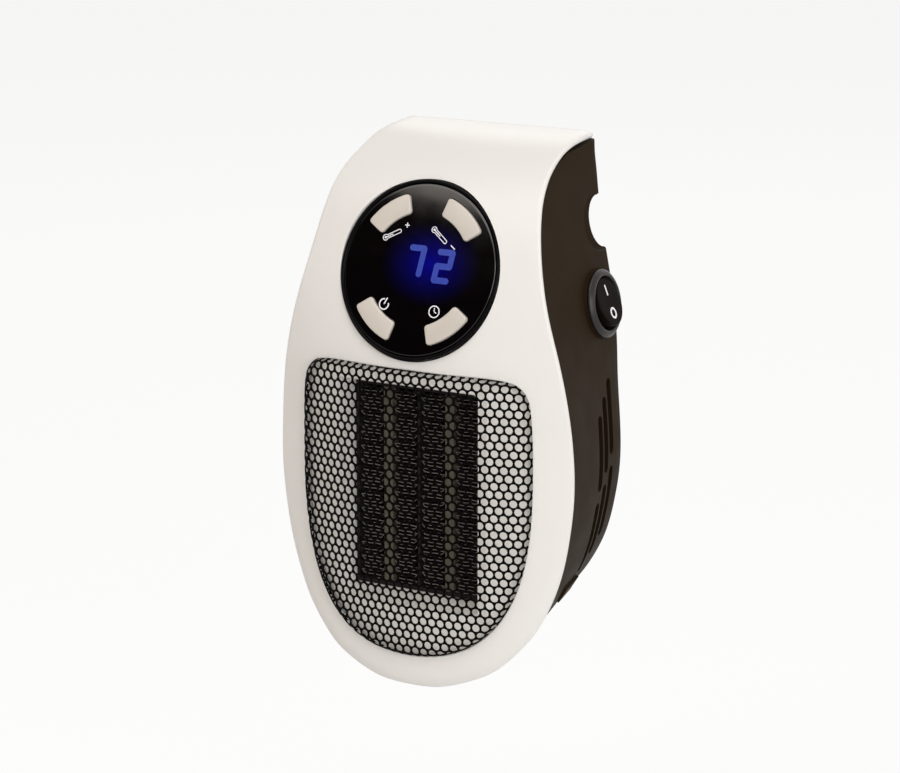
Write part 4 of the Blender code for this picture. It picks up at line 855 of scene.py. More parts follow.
# Side slots: the first one's place along Y and Z, the step to the next, and the lengths down a column
VENT_COLUMNS = 3
VENT_START = (-12, -59)
VENT_STEP = (-4.8, -5.4)
VENT_LENGTHS = (26.01, 24.99)
VENT_GAP = 4.0
VENT_WIDTH = 3.6
VENT_CUT = (25, 60)

# Intake behind the fan
INTAKE_SLOTS = 7
INTAKE_RADIUS = 25
INTAKE_WIDTH = 3
INTAKE_CUT = (-5, PAST_BACK)


def housing_line(way):
    """One line of the housing's skin, from its front rim round the rear corner to the middle of the back."""
    x, z = inside_side(way, SEAT)
    front = behind_front(x, z, sizes().wall + SEAT)
    x, z = inside_side(way, SEAT + read(DRAFT, way))
    corner = Vector((x, BACK * MM, z))
    heart_z = TOP - float(DROP[int(at_way(ROW_WAYS[WIDEST_ROW]))])
    heart = Vector((0, corner.y, max(z, heart_z)))
    edge = corner - front
    before = corner - edge.normalized() * CORNER
    after = corner + (heart - corner).normalized() * CORNER
    line = [front.lerp(before, n / SIDE_STEPS) for n in range(SIDE_STEPS)]
    for n in range(ARC_STEPS + 1):
        turn = math.pi / 2 * n / ARC_STEPS
        near, far = 1 - math.sin(turn), 1 - math.cos(turn)
        line.append(corner + (before - corner) * near + (after - corner) * far)
    line += [after.lerp(heart, n / BACK_STEPS) for n in range(1, BACK_STEPS + 1)]
    return line


def housing_sheet():
    """The housing's outer skin, open at the front: side and back from line to line, and a flat top."""
    drops = np.concatenate([[HOUSING_TOP], np.linspace(*HOUSING_DROPS, 27)])
    upper = np.interp(drops, DROP, WAY)
    lower = np.linspace(upper[-1], float(WAY[-1]), 92)[1:]
    lines = [housing_line(float(way)) for way in np.concatenate([upper, lower])]
    last = SIDE_STEPS + ARC_STEPS + BACK_STEPS
    shape = bmesh.new()
    for side in (1, -1):

        def place(column, row):
            point = lines[row][column].copy()
            point.x *= 0 if row == len(lines) - 1 else side
            return point

        draped(shape, last, len(lines) - 1, place)
    top = lines[0]
    depth = sizes().wall + SEAT
    rim = [behind_front(top[0].x * n / BACK_STEPS, top[0].z, depth).y for n in range(BACK_STEPS + 1)]

    def roof(column, row):
        edge = top[row]
        part = abs(column - BACK_STEPS)
        bulge = (rim[part] - rim[-1]) * (1 - row / (SIDE_STEPS + ARC_STEPS))
        return edge.x * (column - BACK_STEPS) / BACK_STEPS, edge.y + bulge, edge.z

    draped(shape, 2 * BACK_STEPS, SIDE_STEPS + ARC_STEPS, roof)
    return tidy_shape(shape, (0, 1, 0))


def recess_outline(grow=0.0):
    """Outline of the recess behind the upper housing, in which the plug's disc turns, as (x, z)."""
    right = []
    for drop in np.linspace(RECESS_DROPS[0] - grow, RECESS_DROPS[1] + grow, 12):
        way = float(np.interp(drop, DROP, WAY))
        x, z = inside_side(way, SEAT + read(DRAFT, way) + sizes().wall - grow)
        right.append((x, z))
    return right + [(-x, z) for x, z in reversed(right)]


def cut_recess(housing):
    """Moves the rear wall forward round the plug: a slab for the recess's walls, then the recess."""
    wall = sizes().wall
    slab = front_prism(recess_outline(wall / 2), RECESS_FLOOR - wall / MM, RECESS_SLAB_END)
    carve(housing, slab, "UNION")
    carve(housing, front_prism(recess_outline(), RECESS_FLOOR, PAST_BACK))


def housing_additions():
    for place in (SCOOP, other_side(SCOOP)):
        yield block(*SCOOP_PAD, place)
    for place in (TAB, other_side(TAB)):
        yield block(*TAB_BLOCK, place)
    yield rod(*SWITCH_PAD, SWITCH_SEAT, 72)
    for x, z in SCREW_PLACES.values():
        yield rod(*SCREW_BOSS, to_wall(x, BACK, z), 32)
    for x, z in BOARD_POST_PLACES:
        yield rod(*BOARD_POST, to_wall(x, BACK, z), 16)


def scoop_dish(place):
    dish = bmesh.new()
    bmesh.ops.create_uvsphere(dish, u_segments=48, v_segments=24, radius=1)
    bmesh.ops.scale(dish, vec=Vector(SCOOP_DISH) * MM, verts=dish.verts)
    return placed(dish, place)


def vents():
    """Slots in both sides, column by column from the back."""
    for n in range(VENT_COLUMNS):
        y, top = (start + step * n for start, step in zip(VENT_START, VENT_STEP))
        for length in VENT_LENGTHS:
            for side in (1, -1):
                place = axes((0, y, top - length / 2), (0, side, 0), (0, 0, 1), (side, 0, 0))
                yield prism(stadium(VENT_WIDTH, length), *VENT_CUT, place)
            top -= length + VENT_GAP


def intake():
    """Level slots that fill a circle behind the fan."""
    for n in range(INTAKE_SLOTS):
        rise = (n - INTAKE_SLOTS // 2) * 2 * INTAKE_RADIUS / INTAKE_SLOTS
        length = 2 * math.sqrt(INTAKE_RADIUS**2 - rise**2)
        slot = [(y, x) for x, y in reversed(stadium(INTAKE_WIDTH, length))]
        yield prism(slot, *INTAKE_CUT, to_wall(FAN_X, BACK, FAN_Z + rise))


def housing_cuts():
    for place in (SCOOP, other_side(SCOOP)):
        yield scoop_dish(place)
    yield rod(*SWITCH_HOLE, SWITCH_SEAT, 72)
    for x, z in SCREW_PLACES.values():
        yield turned(SCREW_HOLE, to_wall(x, BACK, z), 32)
    yield from vents()
    yield from intake()
    yield rod(*PLUG_HOLE, to_wall(0, RECESS_FLOOR, 0), 64)


def build_housing():
    housing = object_of("housing_shell", housing_sheet())
    thicken(housing, sizes().wall)
    cut_recess(housing)
    carve(housing, gathered(list(housing_additions())), "UNION")
    carve(housing, gathered(list(housing_cuts())))
    soften(housing, 0.25 * MM)
    dress(housing, finish("satin_dark"), "heater", ["rear_housing"])


# Outlet


def grille_field():
    """A flat field of pierced cells, in metres, cut to the outline with room for the turned edge."""
    pitch = sizes().hole_pitch
    hole = sizes().hole_width / 2
    cell = bmesh.new()
    bmesh.ops.create_circle(cell, cap_ends=True, segments=6, radius=pitch / math.sqrt(3))
    bmesh.ops.subdivide_edges(cell, edges=cell.edges, cuts=1)
    face = max(cell.faces, key=lambda item: item.calc_area())
    bmesh.ops.inset_individual(cell, faces=[face], thickness=pitch / 10)
    for corner in face.verts:
        corner.co = corner.co.normalized() * hole
    bmesh.ops.delete(cell, geom=[face], context="FACES")
    tile = bpy.data.meshes.new("tile")
    cell.to_mesh(tile)
    cell.free()
    rise = pitch * math.sqrt(3) / 2
    skirt = sizes().curl * (math.pi / 2 - 1) + GRILLE_SKIRT
    loop = grille_loop(skirt)
    middle = GRILLE_TOP - GRILLE_TALL / 2
    rows = int((GRILLE_TALL / 2 + skirt) / rise) + 2
    columns = int((GRILLE_HALF + skirt) / pitch) + 2
    field = bmesh.new()
    for row in range(-rows, rows + 1):
        z = middle + row * rise
        for column in range(-columns, columns + 1):
            x = (column + (row % 2) / 2) * pitch
            if beside(loop, np.array([[x, z]]))[0][0] > -pitch:
                before = len(field.verts)
                field.from_mesh(tile)
                field.verts.ensure_lookup_table()
                added = field.verts[before:]
                bmesh.ops.translate(field, vec=(x, z, 0), verts=added)
    bpy.data.meshes.remove(tile)
    bmesh.ops.remove_doubles(field, verts=field.verts, dist=GRILLE_SEAM)
    for n in range(0, len(loop), 2):
        here, after = loop[n], loop[(n + 2) % len(loop)]
        along = after - here
        geom = list(field.verts) + list(field.edges) + list(field.faces)
        outward = (-along[1], along[0], 0)
        bmesh.ops.bisect_plane(
            field, geom=geom, dist=GRILLE_SNAP, plane_co=(*here, 0), plane_no=outward, clear_outer=True
        )
    return field, loop


def beside(loop, points):
    """How far points lie inside a loop, and the inward direction at the nearest place of the loop."""
    along = np.roll(loop, -1, axis=0) - loop
    size = np.linalg.norm(along, axis=1)
    away = points[:, None, :] - loop[None, :, :]
    part = np.clip((away * along[None]).sum(2) / size**2, 0, 1)
    gap = away - part[..., None] * along[None]
    far = np.linalg.norm(gap, axis=2)
    nearest = far.argmin(axis=1)
    direction = np.stack([along[:, 1], -along[:, 0]], axis=1) / size[:, None]
    inward = direction[nearest]
    depth = (gap[np.arange(len(points)), nearest] * inward).sum(1)
    return np.where(depth < 0, -far.min(axis=1), far.min(axis=1)), inward


def bent_edge(points, loop):
    """Where the flat field's points go when its edge is turned back: places from the front, and depths."""
    curl = sizes().curl
    inside, inward = beside(loop, points)
    skirt = GRILLE_SKIRT
    arc = curl * math.pi / 2
    angle = np.clip((arc + skirt - inside) / curl, 0, math.pi / 2)
    kept = arc + skirt - inside
    pulled = np.where(kept > 0, kept - curl * np.sin(angle), 0)
    places = points + inward * pulled[:, None]
    back = curl * (1 - np.cos(angle)) + np.clip(skirt - inside, 0, None)
    return places, back


def build_grille():
    field, loop = grille_field()
    flat = np.array([(corner.co.x, corner.co.y) for corner in field.verts])
    places, back = bent_edge(flat, loop)
    from_middle = places[:, 1] - GRILLE_TOP + GRILLE_TALL / 2
    away = np.hypot(places[:, 0] / GRILLE_HALF, from_middle / (GRILLE_TALL / 2))
    puff = GRILLE_PUFF * (1 - np.clip(away, 0, 1) ** 2)
    for corner, (x, z), sink, rise in zip(field.verts, places, back, puff):
        corner.co = (x, float(front_y(x, z)) - GRILLE_STAND - rise + sink, z)
    bmesh.ops.recalc_face_normals(field, faces=field.faces)
    lean = sum((face.normal for face in field.faces), Vector())
    if lean.y > 0:
        bmesh.ops.reverse_faces(field, faces=field.faces)
    grille = object_of("pierced_grille", field)
    wall = grille.modifiers.new("sheet", "SOLIDIFY")
    wall.thickness = sizes().sheet
    wall.offset = -1
    dress(grille, finish("grille_paint"), "heater", ["grille"], 50)


# Mouth of the plate, in mm from the fan's level: what is added at its right side, and the rectangles at its
# front and back as (x low, x high, z reach, y)
MOUTH_FILL = ((24.6, -57.4, -39.0), (28.3, -48.2, 39.0))
MOUTH_FRONT = (10, 28.1, 38.3, -66)
MOUTH_BACK = (10, 21.3, 35.6, -48)

FIN_STEPS = 8
FIN_WAVE_SHARE = 0.10
FIN_SLANT_SHARE = 0.12


def slanted_block(near, far, place):
    """A block between two upright rectangles (x low, x high, z reach, y) in mm."""
    shape = bmesh.new()
    bmesh.ops.create_cube(shape, size=2)
    for corner in shape.verts:
        x_low, x_high, z_reach, y = near if corner.co.y < 0 else far
        x = x_high if corner.co.x > 0 else x_low
        corner.co = Vector((x, y, z_reach * corner.co.z)) * MM
    return placed(shape, place)


def build_pan():
    """The CAD plate with its mouth drawn a little wider on the right."""
    pan = object_of("outlet_plate", copy_of("outlet_pan"))
    level = Matrix.Translation((0, 0, FAN_Z * MM))
    carve(pan, block(*MOUTH_FILL, level), "UNION")
    carve(pan, slanted_block(MOUTH_FRONT, MOUTH_BACK, level))
    soften(pan, 0.3 * MM)
    dress(pan, finish("pan_white"), "heater", ["outlet_pan"])


def fin_ribbon(low, high):
    """A folded ribbon between two corners, with slightly wavy front edges."""
    shape = bmesh.new()
    folds = round((high.z - low.z) / sizes().fin_pitch)
    pitch = (high.z - low.z) / folds
    wall = sizes().fin_wall
    line = []
    for fold in range(folds):
        for n in range(FIN_STEPS + (fold == folds - 1)):
            part = n / FIN_STEPS
            across = part if fold % 2 == 0 else 1 - part
            level = max(0.0, part * (FIN_STEPS + 1) / FIN_STEPS - 1) * FIN_STEPS
            wave = FIN_WAVE_SHARE * pitch * math.sin(2 * math.tau * across) * math.sin(math.pi * part)
            x = low.x + wall + (high.x - low.x - 2 * wall) * across
            rise = fold + FIN_SLANT_SHARE * part + (1 - FIN_SLANT_SHARE) * level
            z = low.z + wall + pitch * rise + wave
            line.append(shape.verts.new((x, low.y, min(z, high.z - wall))))
    edges = [shape.edges.new(pair) for pair in zip(line, line[1:])]
    drawn = bmesh.ops.extrude_edge_only(shape, edges=edges)
    ends = [part for part in drawn["geom"] if isinstance(part, bmesh.types.BMVert)]
    bmesh.ops.translate(shape, vec=(0, high.y - low.y, 0), verts=ends)
    return shape


def build_element():
    for n in range(1, 5):
        node = f"fin_pack_{n}"
        low, high = (Vector(corner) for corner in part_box(node))
        pack = object_of(f"fin_ribbon_{n}", fin_ribbon(low, high))
        wall = pack.modifiers.new("ribbon", "SOLIDIFY")
        wall.thickness = sizes().fin_wall
        wall.offset = 0
        dress(pack, finish("fin_metal"), "heater", [node])
    keep("stone", "ptc_strip_1", "ptc_strip_2")
    keep("part_black", "element_frame_left", "element_frame_right", "element_divider")
    keep("part_black", "element_clamp_top", "element_clamp_bottom", "thermal_cutout")


# Control disc


# Disc, in mm: its domed face and back, the ring round it as (radius, height), and the keys
DOME_TOP = 0.35
DOME_FALL = 0.6
DOME_SHARE = 0.97
DISC_BACK = -2.2
DISC_ROUND = 0.7
RING_OUTER = ((30.1, -4.2), (30.1, -0.5), (29.8, -0.1), (29.2, -0.1))
RING_INNER = ((28.9, -0.5), (28.9, -2.5), (27.1, -2.5), (27.1, -4.2))
KEY_RADII = (19.0, 25.7)
KEY_REACH = math.radians(19.5)
KEY_STEPS = 7
KEY_CORNER = 1.1
KEY_ROOM = 0.3
KEY_EDGE = 0.45
KEY_HEIGHTS = (-2.8, 0.95)
KEY_FOOT = (0.7, -3.1, -2.5)


def dome_height(radius):
    """How far the disc's slightly domed face stands out at a distance from its middle, in mm."""
    return DOME_TOP - DOME_FALL * (radius / (sizes().disc_radius / MM)) ** 2


def on_disc(shape):
    """Moves a flat mark from the disc's plane onto its face."""
    for corner in shape.verts:
        corner.co.z += dome_height(math.hypot(corner.co.x, corner.co.y) / MM) * MM
    return placed(shape, DISC)


def key_form(grow, low, high, turn, edge=0.0):
    """A key-shaped ring segment in mm on the disc, with rounded corners, from low to high."""
    shape = bmesh.new()
    radii = (KEY_RADII[0] - grow, KEY_RADII[1] + grow)

    def place(column, row):
        radius = radii[row]
        angle = math.radians(turn) + (KEY_REACH + grow / radius) * (2 * column / KEY_STEPS - 1)
        return radius * MM * math.cos(angle), radius * MM * math.sin(angle), low * MM

    draped(shape, KEY_STEPS, 1, place)
    corners = sorted(shape.verts, key=lambda corner: len(corner.link_edges))[:4]
    rounded_off(shape, corners, (KEY_CORNER + grow) * MM, "VERTICES")
    bmesh.ops.dissolve_faces(shape, faces=shape.faces)
    raised(shape, (high - low) * MM)
    if edge:
        top = [line for line in shape.edges if all(end.co.z > (high - 0.01) * MM for end in line.verts)]
        rounded_off(shape, top, edge * MM)
    return placed(shape, DISC)


def build_disc():
    radius = sizes().disc_radius / MM
    dome = [(part * radius, dome_height(part * radius)) for part in np.linspace(0, DOME_SHARE, 11)]
    edge = [(radius, dome_height(radius)), (radius, DISC_BACK), (0, DISC_BACK)]
    profile = dome[:-1] + rounded([dome[-1]] + edge, DISC_ROUND, 6)
    disc = object_of("glossy_disc", turned(profile, DISC, 128))
    carve(disc, gathered([key_form(KEY_ROOM, -4, 3, turn) for turn in KEY_TURNS.values()]))
    soften(disc, 0.2 * MM)
    dress(disc, piano_black(), "heater", ["control_disc"], 30)
    bezel = object_of("disc_bezel", turned(RING_OUTER + RING_INNER, DISC, 128, closed=True))
    soften(bezel, 0.15 * MM)
    dress(bezel, finish("ring_black"), "heater", ["display_bezel"])


def build_keys():
    for name, turn in KEY_TURNS.items():
        key = object_of(f"key_{name}", key_form(0.0, *KEY_HEIGHTS, turn, KEY_EDGE))
        carve(key, key_form(*KEY_FOOT, turn), "UNION")
        dress(key, finish("key_ivory"), f"button_{name}", [f"button_{name}"], 30)


# Lit digits and printed marks, in mm on the disc's plane
MARK_ROOT = 0.06 * MM
MARK_LIFT = 0.06 * MM
BAR_SIDES = 16
ARC_PIECES = 28

# Each figure's segments, from a at the top round to f, with g in the middle; then left edge, foot and height
FIGURES = (("abc", -4.3, -1.6, 8.6), ("abged", 6.4, -2.9, 9.4))
FIGURE_WIDTH = 4.7
FIGURE_BOLD = 2.1
FIGURE_SLANT = 0.10
FIGURE_REACH_SHARE = 0.44
SEGMENTS = {
    "a": ((0, 1), (1, 1)),
    "b": ((1, 1), (1, 0.5)),
    "c": ((1, 0.5), (1, 0)),
    "d": ((0, 0), (1, 0)),
    "e": ((0, 0), (0, 0.5)),
    "f": ((0, 0.5), (0, 1)),
    "g": ((0, 0.5), (1, 0.5)),
}

# Plus, minus, stroke of the power mark and hands of the clock: start, end and width
MARK_BARS = (
    ((-7.7, 14.1), (-5.9, 14.1), 0.34),
    ((-6.8, 13.2), (-6.8, 15.0), 0.34),
    ((10.8, 9.0), (12.5, 7.8), 0.36),
    ((-11.0, -12.6), (-9.9, -10.4), 0.42),
    ((8.4, -13.2), (8.4, -11.9), 0.32),
    ((8.4, -13.2), (9.3, -13.6), 0.32),
)

# Arc of the power mark and rim of the clock: middle, radius, width, first angle and sweep in degrees
MARK_ARCS = (
    ((-11.0, -12.6), 1.75, 0.42, 85, 290),
    ((8.4, -13.2), 1.9, 0.36, 0, 360),
)

# Thermometers from bulb to tip, and their width, line and shares of the width
THERMOMETERS = (((-15.2, 8.9), (-8.8, 12.2)), ((3.0, 14.1), (8.9, 9.6)))
BULB_WIDTH = 1.9
BULB_LINE = 0.26
BULB_REACH = 0.28
NECK_SHARE = 0.31
FILL_SHARE = 0.42
COLUMN_SHARE = 0.55


def on_face(shape):
    """Gives a flat mark its thickness, from just below the disc's face to just above it."""
    raised(shape, MARK_LIFT + MARK_ROOT)
    bmesh.ops.translate(shape, vec=(0, 0, -MARK_ROOT), verts=shape.verts)
    return shape


def bar(start, end, width):
    """A flat bar with round ends between two places in mm on the disc."""
    shape = bmesh.new()
    radius = width / 2 * MM
    bmesh.ops.create_circle(shape, cap_ends=True, segments=BAR_SIDES, radius=radius)
    placed(shape, Matrix.Rotation(math.pi / BAR_SIDES, 4, "Z"))
    start, end = Vector(start) * MM, Vector(end) * MM
    along = end - start
    half = max(along.length / 2 - radius, 0)
    for corner in shape.verts:
        corner.co.x += half if corner.co.x > 0 else -half
    on_face(shape)
    turn = Matrix.Rotation(math.atan2(along.y, along.x), 4, "Z")
    return on_disc(placed(shape, Matrix.Translation(((start + end) / 2).to_3d()) @ turn))


def arc(centre, radius, width, start=0.0, sweep=360.0):
    """A flat arc in mm on the disc; angles in degrees."""
    shape = bmesh.new()
    radii = (radius - width / 2, radius + width / 2)

    def place(column, row):
        angle = math.radians(start + sweep * column / ARC_PIECES)
        x = centre[0] + radii[row] * math.cos(angle)
        y = centre[1] + radii[row] * math.sin(angle)
        return x * MM, y * MM, 0

    draped(shape, ARC_PIECES, 1, place)
    bmesh.ops.remove_doubles(shape, verts=shape.verts, dist=FINE_SEAM)
    return on_disc(on_face(shape))


def figure(segments, left, foot, tall):
    """The bars of one seven-segment figure."""
    for name in segments:
        ends = []
        for x, y in SEGMENTS[name]:
            ends.append(Vector((left + FIGURE_WIDTH * x + FIGURE_SLANT * tall * y, foot + tall * y)))
        start, end = ends
        way = (end - start).normalized() * FIGURE_BOLD * FIGURE_REACH_SHARE
        yield bar(start - way, end + way, FIGURE_BOLD)


def thermometer(start, end):
    """A thin pictogram along the way between two places in mm: bulb at the start, filled to about half."""
    start, end = Vector(start), Vector(end)
    way = (end - start).normalized()
    turn = math.degrees(math.atan2(way.y, way.x))
    radius = BULB_WIDTH / 2
    neck = BULB_WIDTH * NECK_SHARE
    bulb = start + way * radius
    tip = end - way * neck
    opening = math.asin(neck / radius)
    gap = math.degrees(opening)
    yield arc(bulb, radius, BULB_LINE, turn + gap, 360 - 2 * gap)
    yield arc(tip, neck, BULB_LINE, turn - 90, 180)
    shoulder = bulb + way * radius * math.cos(opening)
    for side in (Vector((-way.y, way.x)), Vector((way.y, -way.x))):
        yield bar(shoulder + side * neck, tip + side * neck, BULB_LINE)
    yield bar(bulb - way * BULB_REACH, bulb + way * BULB_REACH, BULB_WIDTH * FILL_SHARE)
    yield bar(bulb, bulb.lerp(tip, COLUMN_SHARE), BULB_LINE * 1.2)


def build_display():
    figures = [shape for values in FIGURES for shape in figure(*values)]
    dress(object_of("lit_digits", gathered(figures)), lit_blue(), "heater")
    marks = [bar(*values) for values in MARK_BARS] + [arc(*values) for values in MARK_ARCS]
    marks += [shape for ends in THERMOMETERS for shape in thermometer(*ends)]
    dress(object_of("disc_marks", gathered(marks)), finish("print_pale"), "heater")


# Switch and plug: profiles as (radius, height) in mm along their own axes

SWITCH_OUTER = ((10.2, 1.8), (11.5, 0.7), (11.5, 0), (9.9, 0), (9.9, -14), (0, -14))
SWITCH_INNER = ((0, -6.2), (9.1, -6.2), (9.1, 1.5), (9.35, 1.8))
ROCKER_PROFILE = ((0, 2.95), (4.0, 2.98), (8.3, 3.1), (8.3, -2.4), (0, -2.4))
ROCKER_SINK = Matrix.Translation((0, 0, -0.5 * MM))
ROCKER_TURN = Matrix.Rotation(math.radians(-11), 4, "X")
ROCKER_PIN = (0.9, -9.3, 9.3)
STROKE_BOX = ((-0.35, 2.0, 2.9), (0.35, 5.6, 3.12))
CIRCLE_PROFILE = ((1.25, 2.9), (1.25, 3.12), (1.95, 3.12), (1.95, 2.9))
CIRCLE_DROP = -4.1 * MM

PLUG_PROFILE = ((0, 0), (15.0, 0), (16.0, -1.0), (16.0, -4.2), (9.2, -4.2), (9.2, -8.6), (0, -8.6))
BLADE_SLOTS = ((6.35, 3.45), (-6.35, 4.25))
BLADE_SLOT_HALF = 1.05
BLADE_SLOT_CUT = (-13, 3)


def build_switch():
    body = object_of("switch_shell", turned(rounded(SWITCH_INNER + SWITCH_OUTER, 0.35, 3), SWITCH, 96))
    dress(body, finish("trim_black"), "heater", ["switch_body"], 30)
    home = SWITCH @ ROCKER_SINK @ ROCKER_TURN
    rocker = object_of("rocker_cap", turned(rounded(ROCKER_PROFILE, 0.6, 5), home, 72))
    carve(rocker, rod(*ROCKER_PIN, home @ Matrix.Rotation(math.pi / 2, 4, "Y"), 16), "UNION")
    dress(rocker, finish("rocker_black"), "rocker", ["switch_rocker"], 30)
    circle = turned(CIRCLE_PROFILE, home @ Matrix.Translation((0, CIRCLE_DROP, 0)), 40, closed=True)
    marks = object_of("rocker_marks", gathered([block(*STROKE_BOX, home), circle]))
    dress(marks, finish("print_pale"), "rocker")
    keep("brass", "switch_terminal_1", "switch_terminal_2")


def build_plug():
    disc = object_of("plug_face", turned(rounded(PLUG_PROFILE, 0.4), to_wall(0, 0, 0), 96))
    slots = []
    for x, reach in BLADE_SLOTS:
        low = (x - BLADE_SLOT_HALF, BLADE_SLOT_CUT[0], -reach)
        slots.append(block(low, (x + BLADE_SLOT_HALF, BLADE_SLOT_CUT[1], reach)))
    carve(disc, gathered(slots))
    soften(disc, 0.2 * MM)
    dress(disc, finish("trim_black"), "plug", ["plug_disc"])
    for node in ("plug_blade_live", "plug_blade_neutral"):
        blade = object_of(f"{node}_rounded", copy_of(node))
        soften(blade, 0.3 * MM, 2, 20)
        dress(blade, finish("brass"), "plug", [node])
    keep("key_ivory", "plug_retainer")


# Inside

SCREW_HEAD = ((0, -1.0), (2.2, -1.05), (2.9, -1.7), (2.9, -2.8))
SCREW_SHANK = ((1.5, -2.8), (1.5, -12.3), (0, -12.3))
CROSS_REACHES = ((1.7, 0.35), (0.35, 1.7))
CROSS_DEPTH = -2.1


def build_fan():
    keep("fan_ivory", "impeller")
    keep("steel", "motor_shaft", "fan_motor")
    keep("part_black", "motor_bracket", "fan_shroud")


def build_boards():
    keep("board", "control_board", "power_board")
    keep("part_black", "relay", "led_display", "capacitor", "tilt_switch")
    keep("part_black", *(f"key_switch_{name}" for name in KEY_TURNS))
    keep("key_ivory", "terminal_block")
    keep("steel", "heat_sink")
    keep("copper", "choke")


def build_screws():
    profile = rounded(SCREW_HEAD + SCREW_SHANK, 0.4)
    for name, (x, z) in SCREW_PLACES.items():
        place = to_wall(x, BACK, z)
        screw = object_of(f"{name}_crossed", turned(profile, place, 40))
        for wide, tall in CROSS_REACHES:
            carve(screw, block((-wide, -tall, CROSS_DEPTH), (wide, tall, 0), place))
        dress(screw, finish("steel"), "heater", [name])


# Stage, in metres but for the places of the screen and the camera, which are in mm

FLOOR_LEVEL = -0.26
FLOOR_RADIUS = 9.0
FLOOR_GLOW = 0.88
SCREEN_PLACE = axes((-1120, -1660, 350), (0.829, -0.559, 0), (0, 0, 1), (-0.559, -0.829, 0))
SCREEN_REACH = (1.15, 0.56, 1)
AMBIENT_COLOUR = (1.0, 0.91, 0.78, 1)
AMBIENT_LEVEL = 0.285
LAMP_AIM = Vector((0, -0.03, -0.07))
CAMERA_PLACE = (510.95, -884.1, 167.45)
CAMERA_AHEAD = (-0.50163, 0.83486, -0.22665)
CAMERA_TURN = math.radians(31)
CAMERA_LENS = 121.2

# Name, place, watts, width and colour
LAMPS = (
    ("front_left", (-0.545, -1.375, 1.25), 11.8, 1.15, (1.0, 0.92, 0.84)),
    ("front_right", (1.87, -1.10, 0.44), 29.0, 1.2, (1.0, 1.0, 0.995)),
    ("above", (0.2, -0.5, 1.6), 14.0, 1.2, (1.0, 1.0, 0.99)),
    ("behind_left", (-0.6, 1.5, 1.0), 5.0, 1.0, (1.0, 0.98, 0.96)),
    ("behind_right", (1.6, 0.6, 0.4), 2.0, 0.9, (1.0, 0.97, 0.93)),
)


def combined(tree, operation, one, other):
    """A Math node on a linked value and a linked or plain one."""
    node = tree.nodes.new("ShaderNodeMath")
    node.operation = operation
    tree.links.new(one, node.inputs[0])
    if isinstance(other, bpy.types.NodeSocket):
        tree.links.new(other, node.inputs[1])
    else:
        node.inputs[1].default_value = other
    return node.outputs[0]


def mixed(tree, factor, one, other, end):
    """Mixes two shaders into an output node."""
    mix = tree.nodes.new("ShaderNodeMixShader")
    tree.links.new(factor, mix.inputs["Fac"])
    tree.links.new(one, mix.inputs[1])
    tree.links.new(other, mix.inputs[2])
    tree.links.new(mix.outputs["Shader"], tree.nodes[end].inputs["Surface"])


def seen_directly(tree):
    """1 where the camera sees a surface, by itself or in gloss or glass, and 0 where it gives light."""
    path = tree.nodes.new("ShaderNodeLightPath").outputs
    seen = combined(tree, "MAXIMUM", path["Is Camera Ray"], path["Is Glossy Ray"])
    return combined(tree, "MAXIMUM", seen, path["Is Transmission Ray"])


def matt(name, waves, dark, light, shine):
    """Dull grey between two levels."""
    made, tree, shader, place = new_finish(name)
    tone = blended(tree, noise(tree, place, waves), (dark,) * 3, (light,) * 3)
    tree.links.new(tone, shader.inputs["Base Color"])
    shader.inputs["Roughness"].default_value = 0.9
    shader.inputs["Specular IOR Level"].default_value = shine
    return made, tree, shader


def pale_floor():
    """Plain pale ground that reads as white to the camera and keeps soft shadows."""
    made, tree, shader = matt("pale_ground", 3.0, 0.86, 0.88, 0.1)
    glow = tree.nodes.new("ShaderNodeEmission")
    amount = combined(tree, "MULTIPLY", seen_directly(tree), FLOOR_GLOW)
    mixed(tree, amount, shader.outputs["BSDF"], glow.outputs["Emission"], "Material Output")
    return made


def build_floor():
    shape = bmesh.new()
    bmesh.ops.create_circle(shape, cap_ends=True, segments=96, radius=FLOOR_RADIUS)
    bmesh.ops.translate(shape, vec=(0, 0, FLOOR_LEVEL), verts=shape.verts)
    floor = object_of("ground", shape)
    floor.data.materials.append(pale_floor())


def build_dark_screen():
    """A dark screen outside the view, which the glossy black disc mirrors below the lamp."""
    shape = bmesh.new()
    bmesh.ops.create_grid(shape, x_segments=1, y_segments=1, size=1.0)
    bmesh.ops.scale(shape, vec=SCREEN_REACH, verts=shape.verts)
    screen = object_of("dark_screen", placed(shape, SCREEN_PLACE))
    screen.data.materials.append(matt("dark_cloth", 300.0, 0.004, 0.008, 0.0)[0])
    for ray in ("visible_camera", "visible_diffuse", "visible_shadow", "visible_transmission"):
        setattr(screen, ray, False)


def build_world():
    """Warm ambient light, and plain white wherever the world itself is seen."""
    world = bpy.data.worlds.new("studio")
    bpy.context.scene.world = world
    world.use_nodes = True
    tree = world.node_tree
    ambient = tree.nodes["Background"]
    ambient.inputs["Color"].default_value = AMBIENT_COLOUR
    ambient.inputs["Strength"].default_value = AMBIENT_LEVEL
    plain = tree.nodes.new("ShaderNodeBackground")
    plain.inputs["Color"].default_value = (1, 1, 1, 1)
    plain.inputs["Strength"].default_value = 1.0
    skies = ambient.outputs["Background"], plain.outputs["Background"]
    mixed(tree, seen_directly(tree), *skies, "World Output")


def build_lamps():
    for name, place, energy, width, colour in LAMPS:
        lamp = bpy.data.lights.new(name, "AREA")
        lamp.energy = energy
        lamp.size = width
        lamp.color = colour
        item = bpy.data.objects.new(name, lamp)
        item.location = place
        item.visible_camera = False
        item.rotation_euler = (LAMP_AIM - Vector(place)).to_track_quat("-Z", "Y").to_euler()
        bpy.context.scene.collection.objects.link(item)


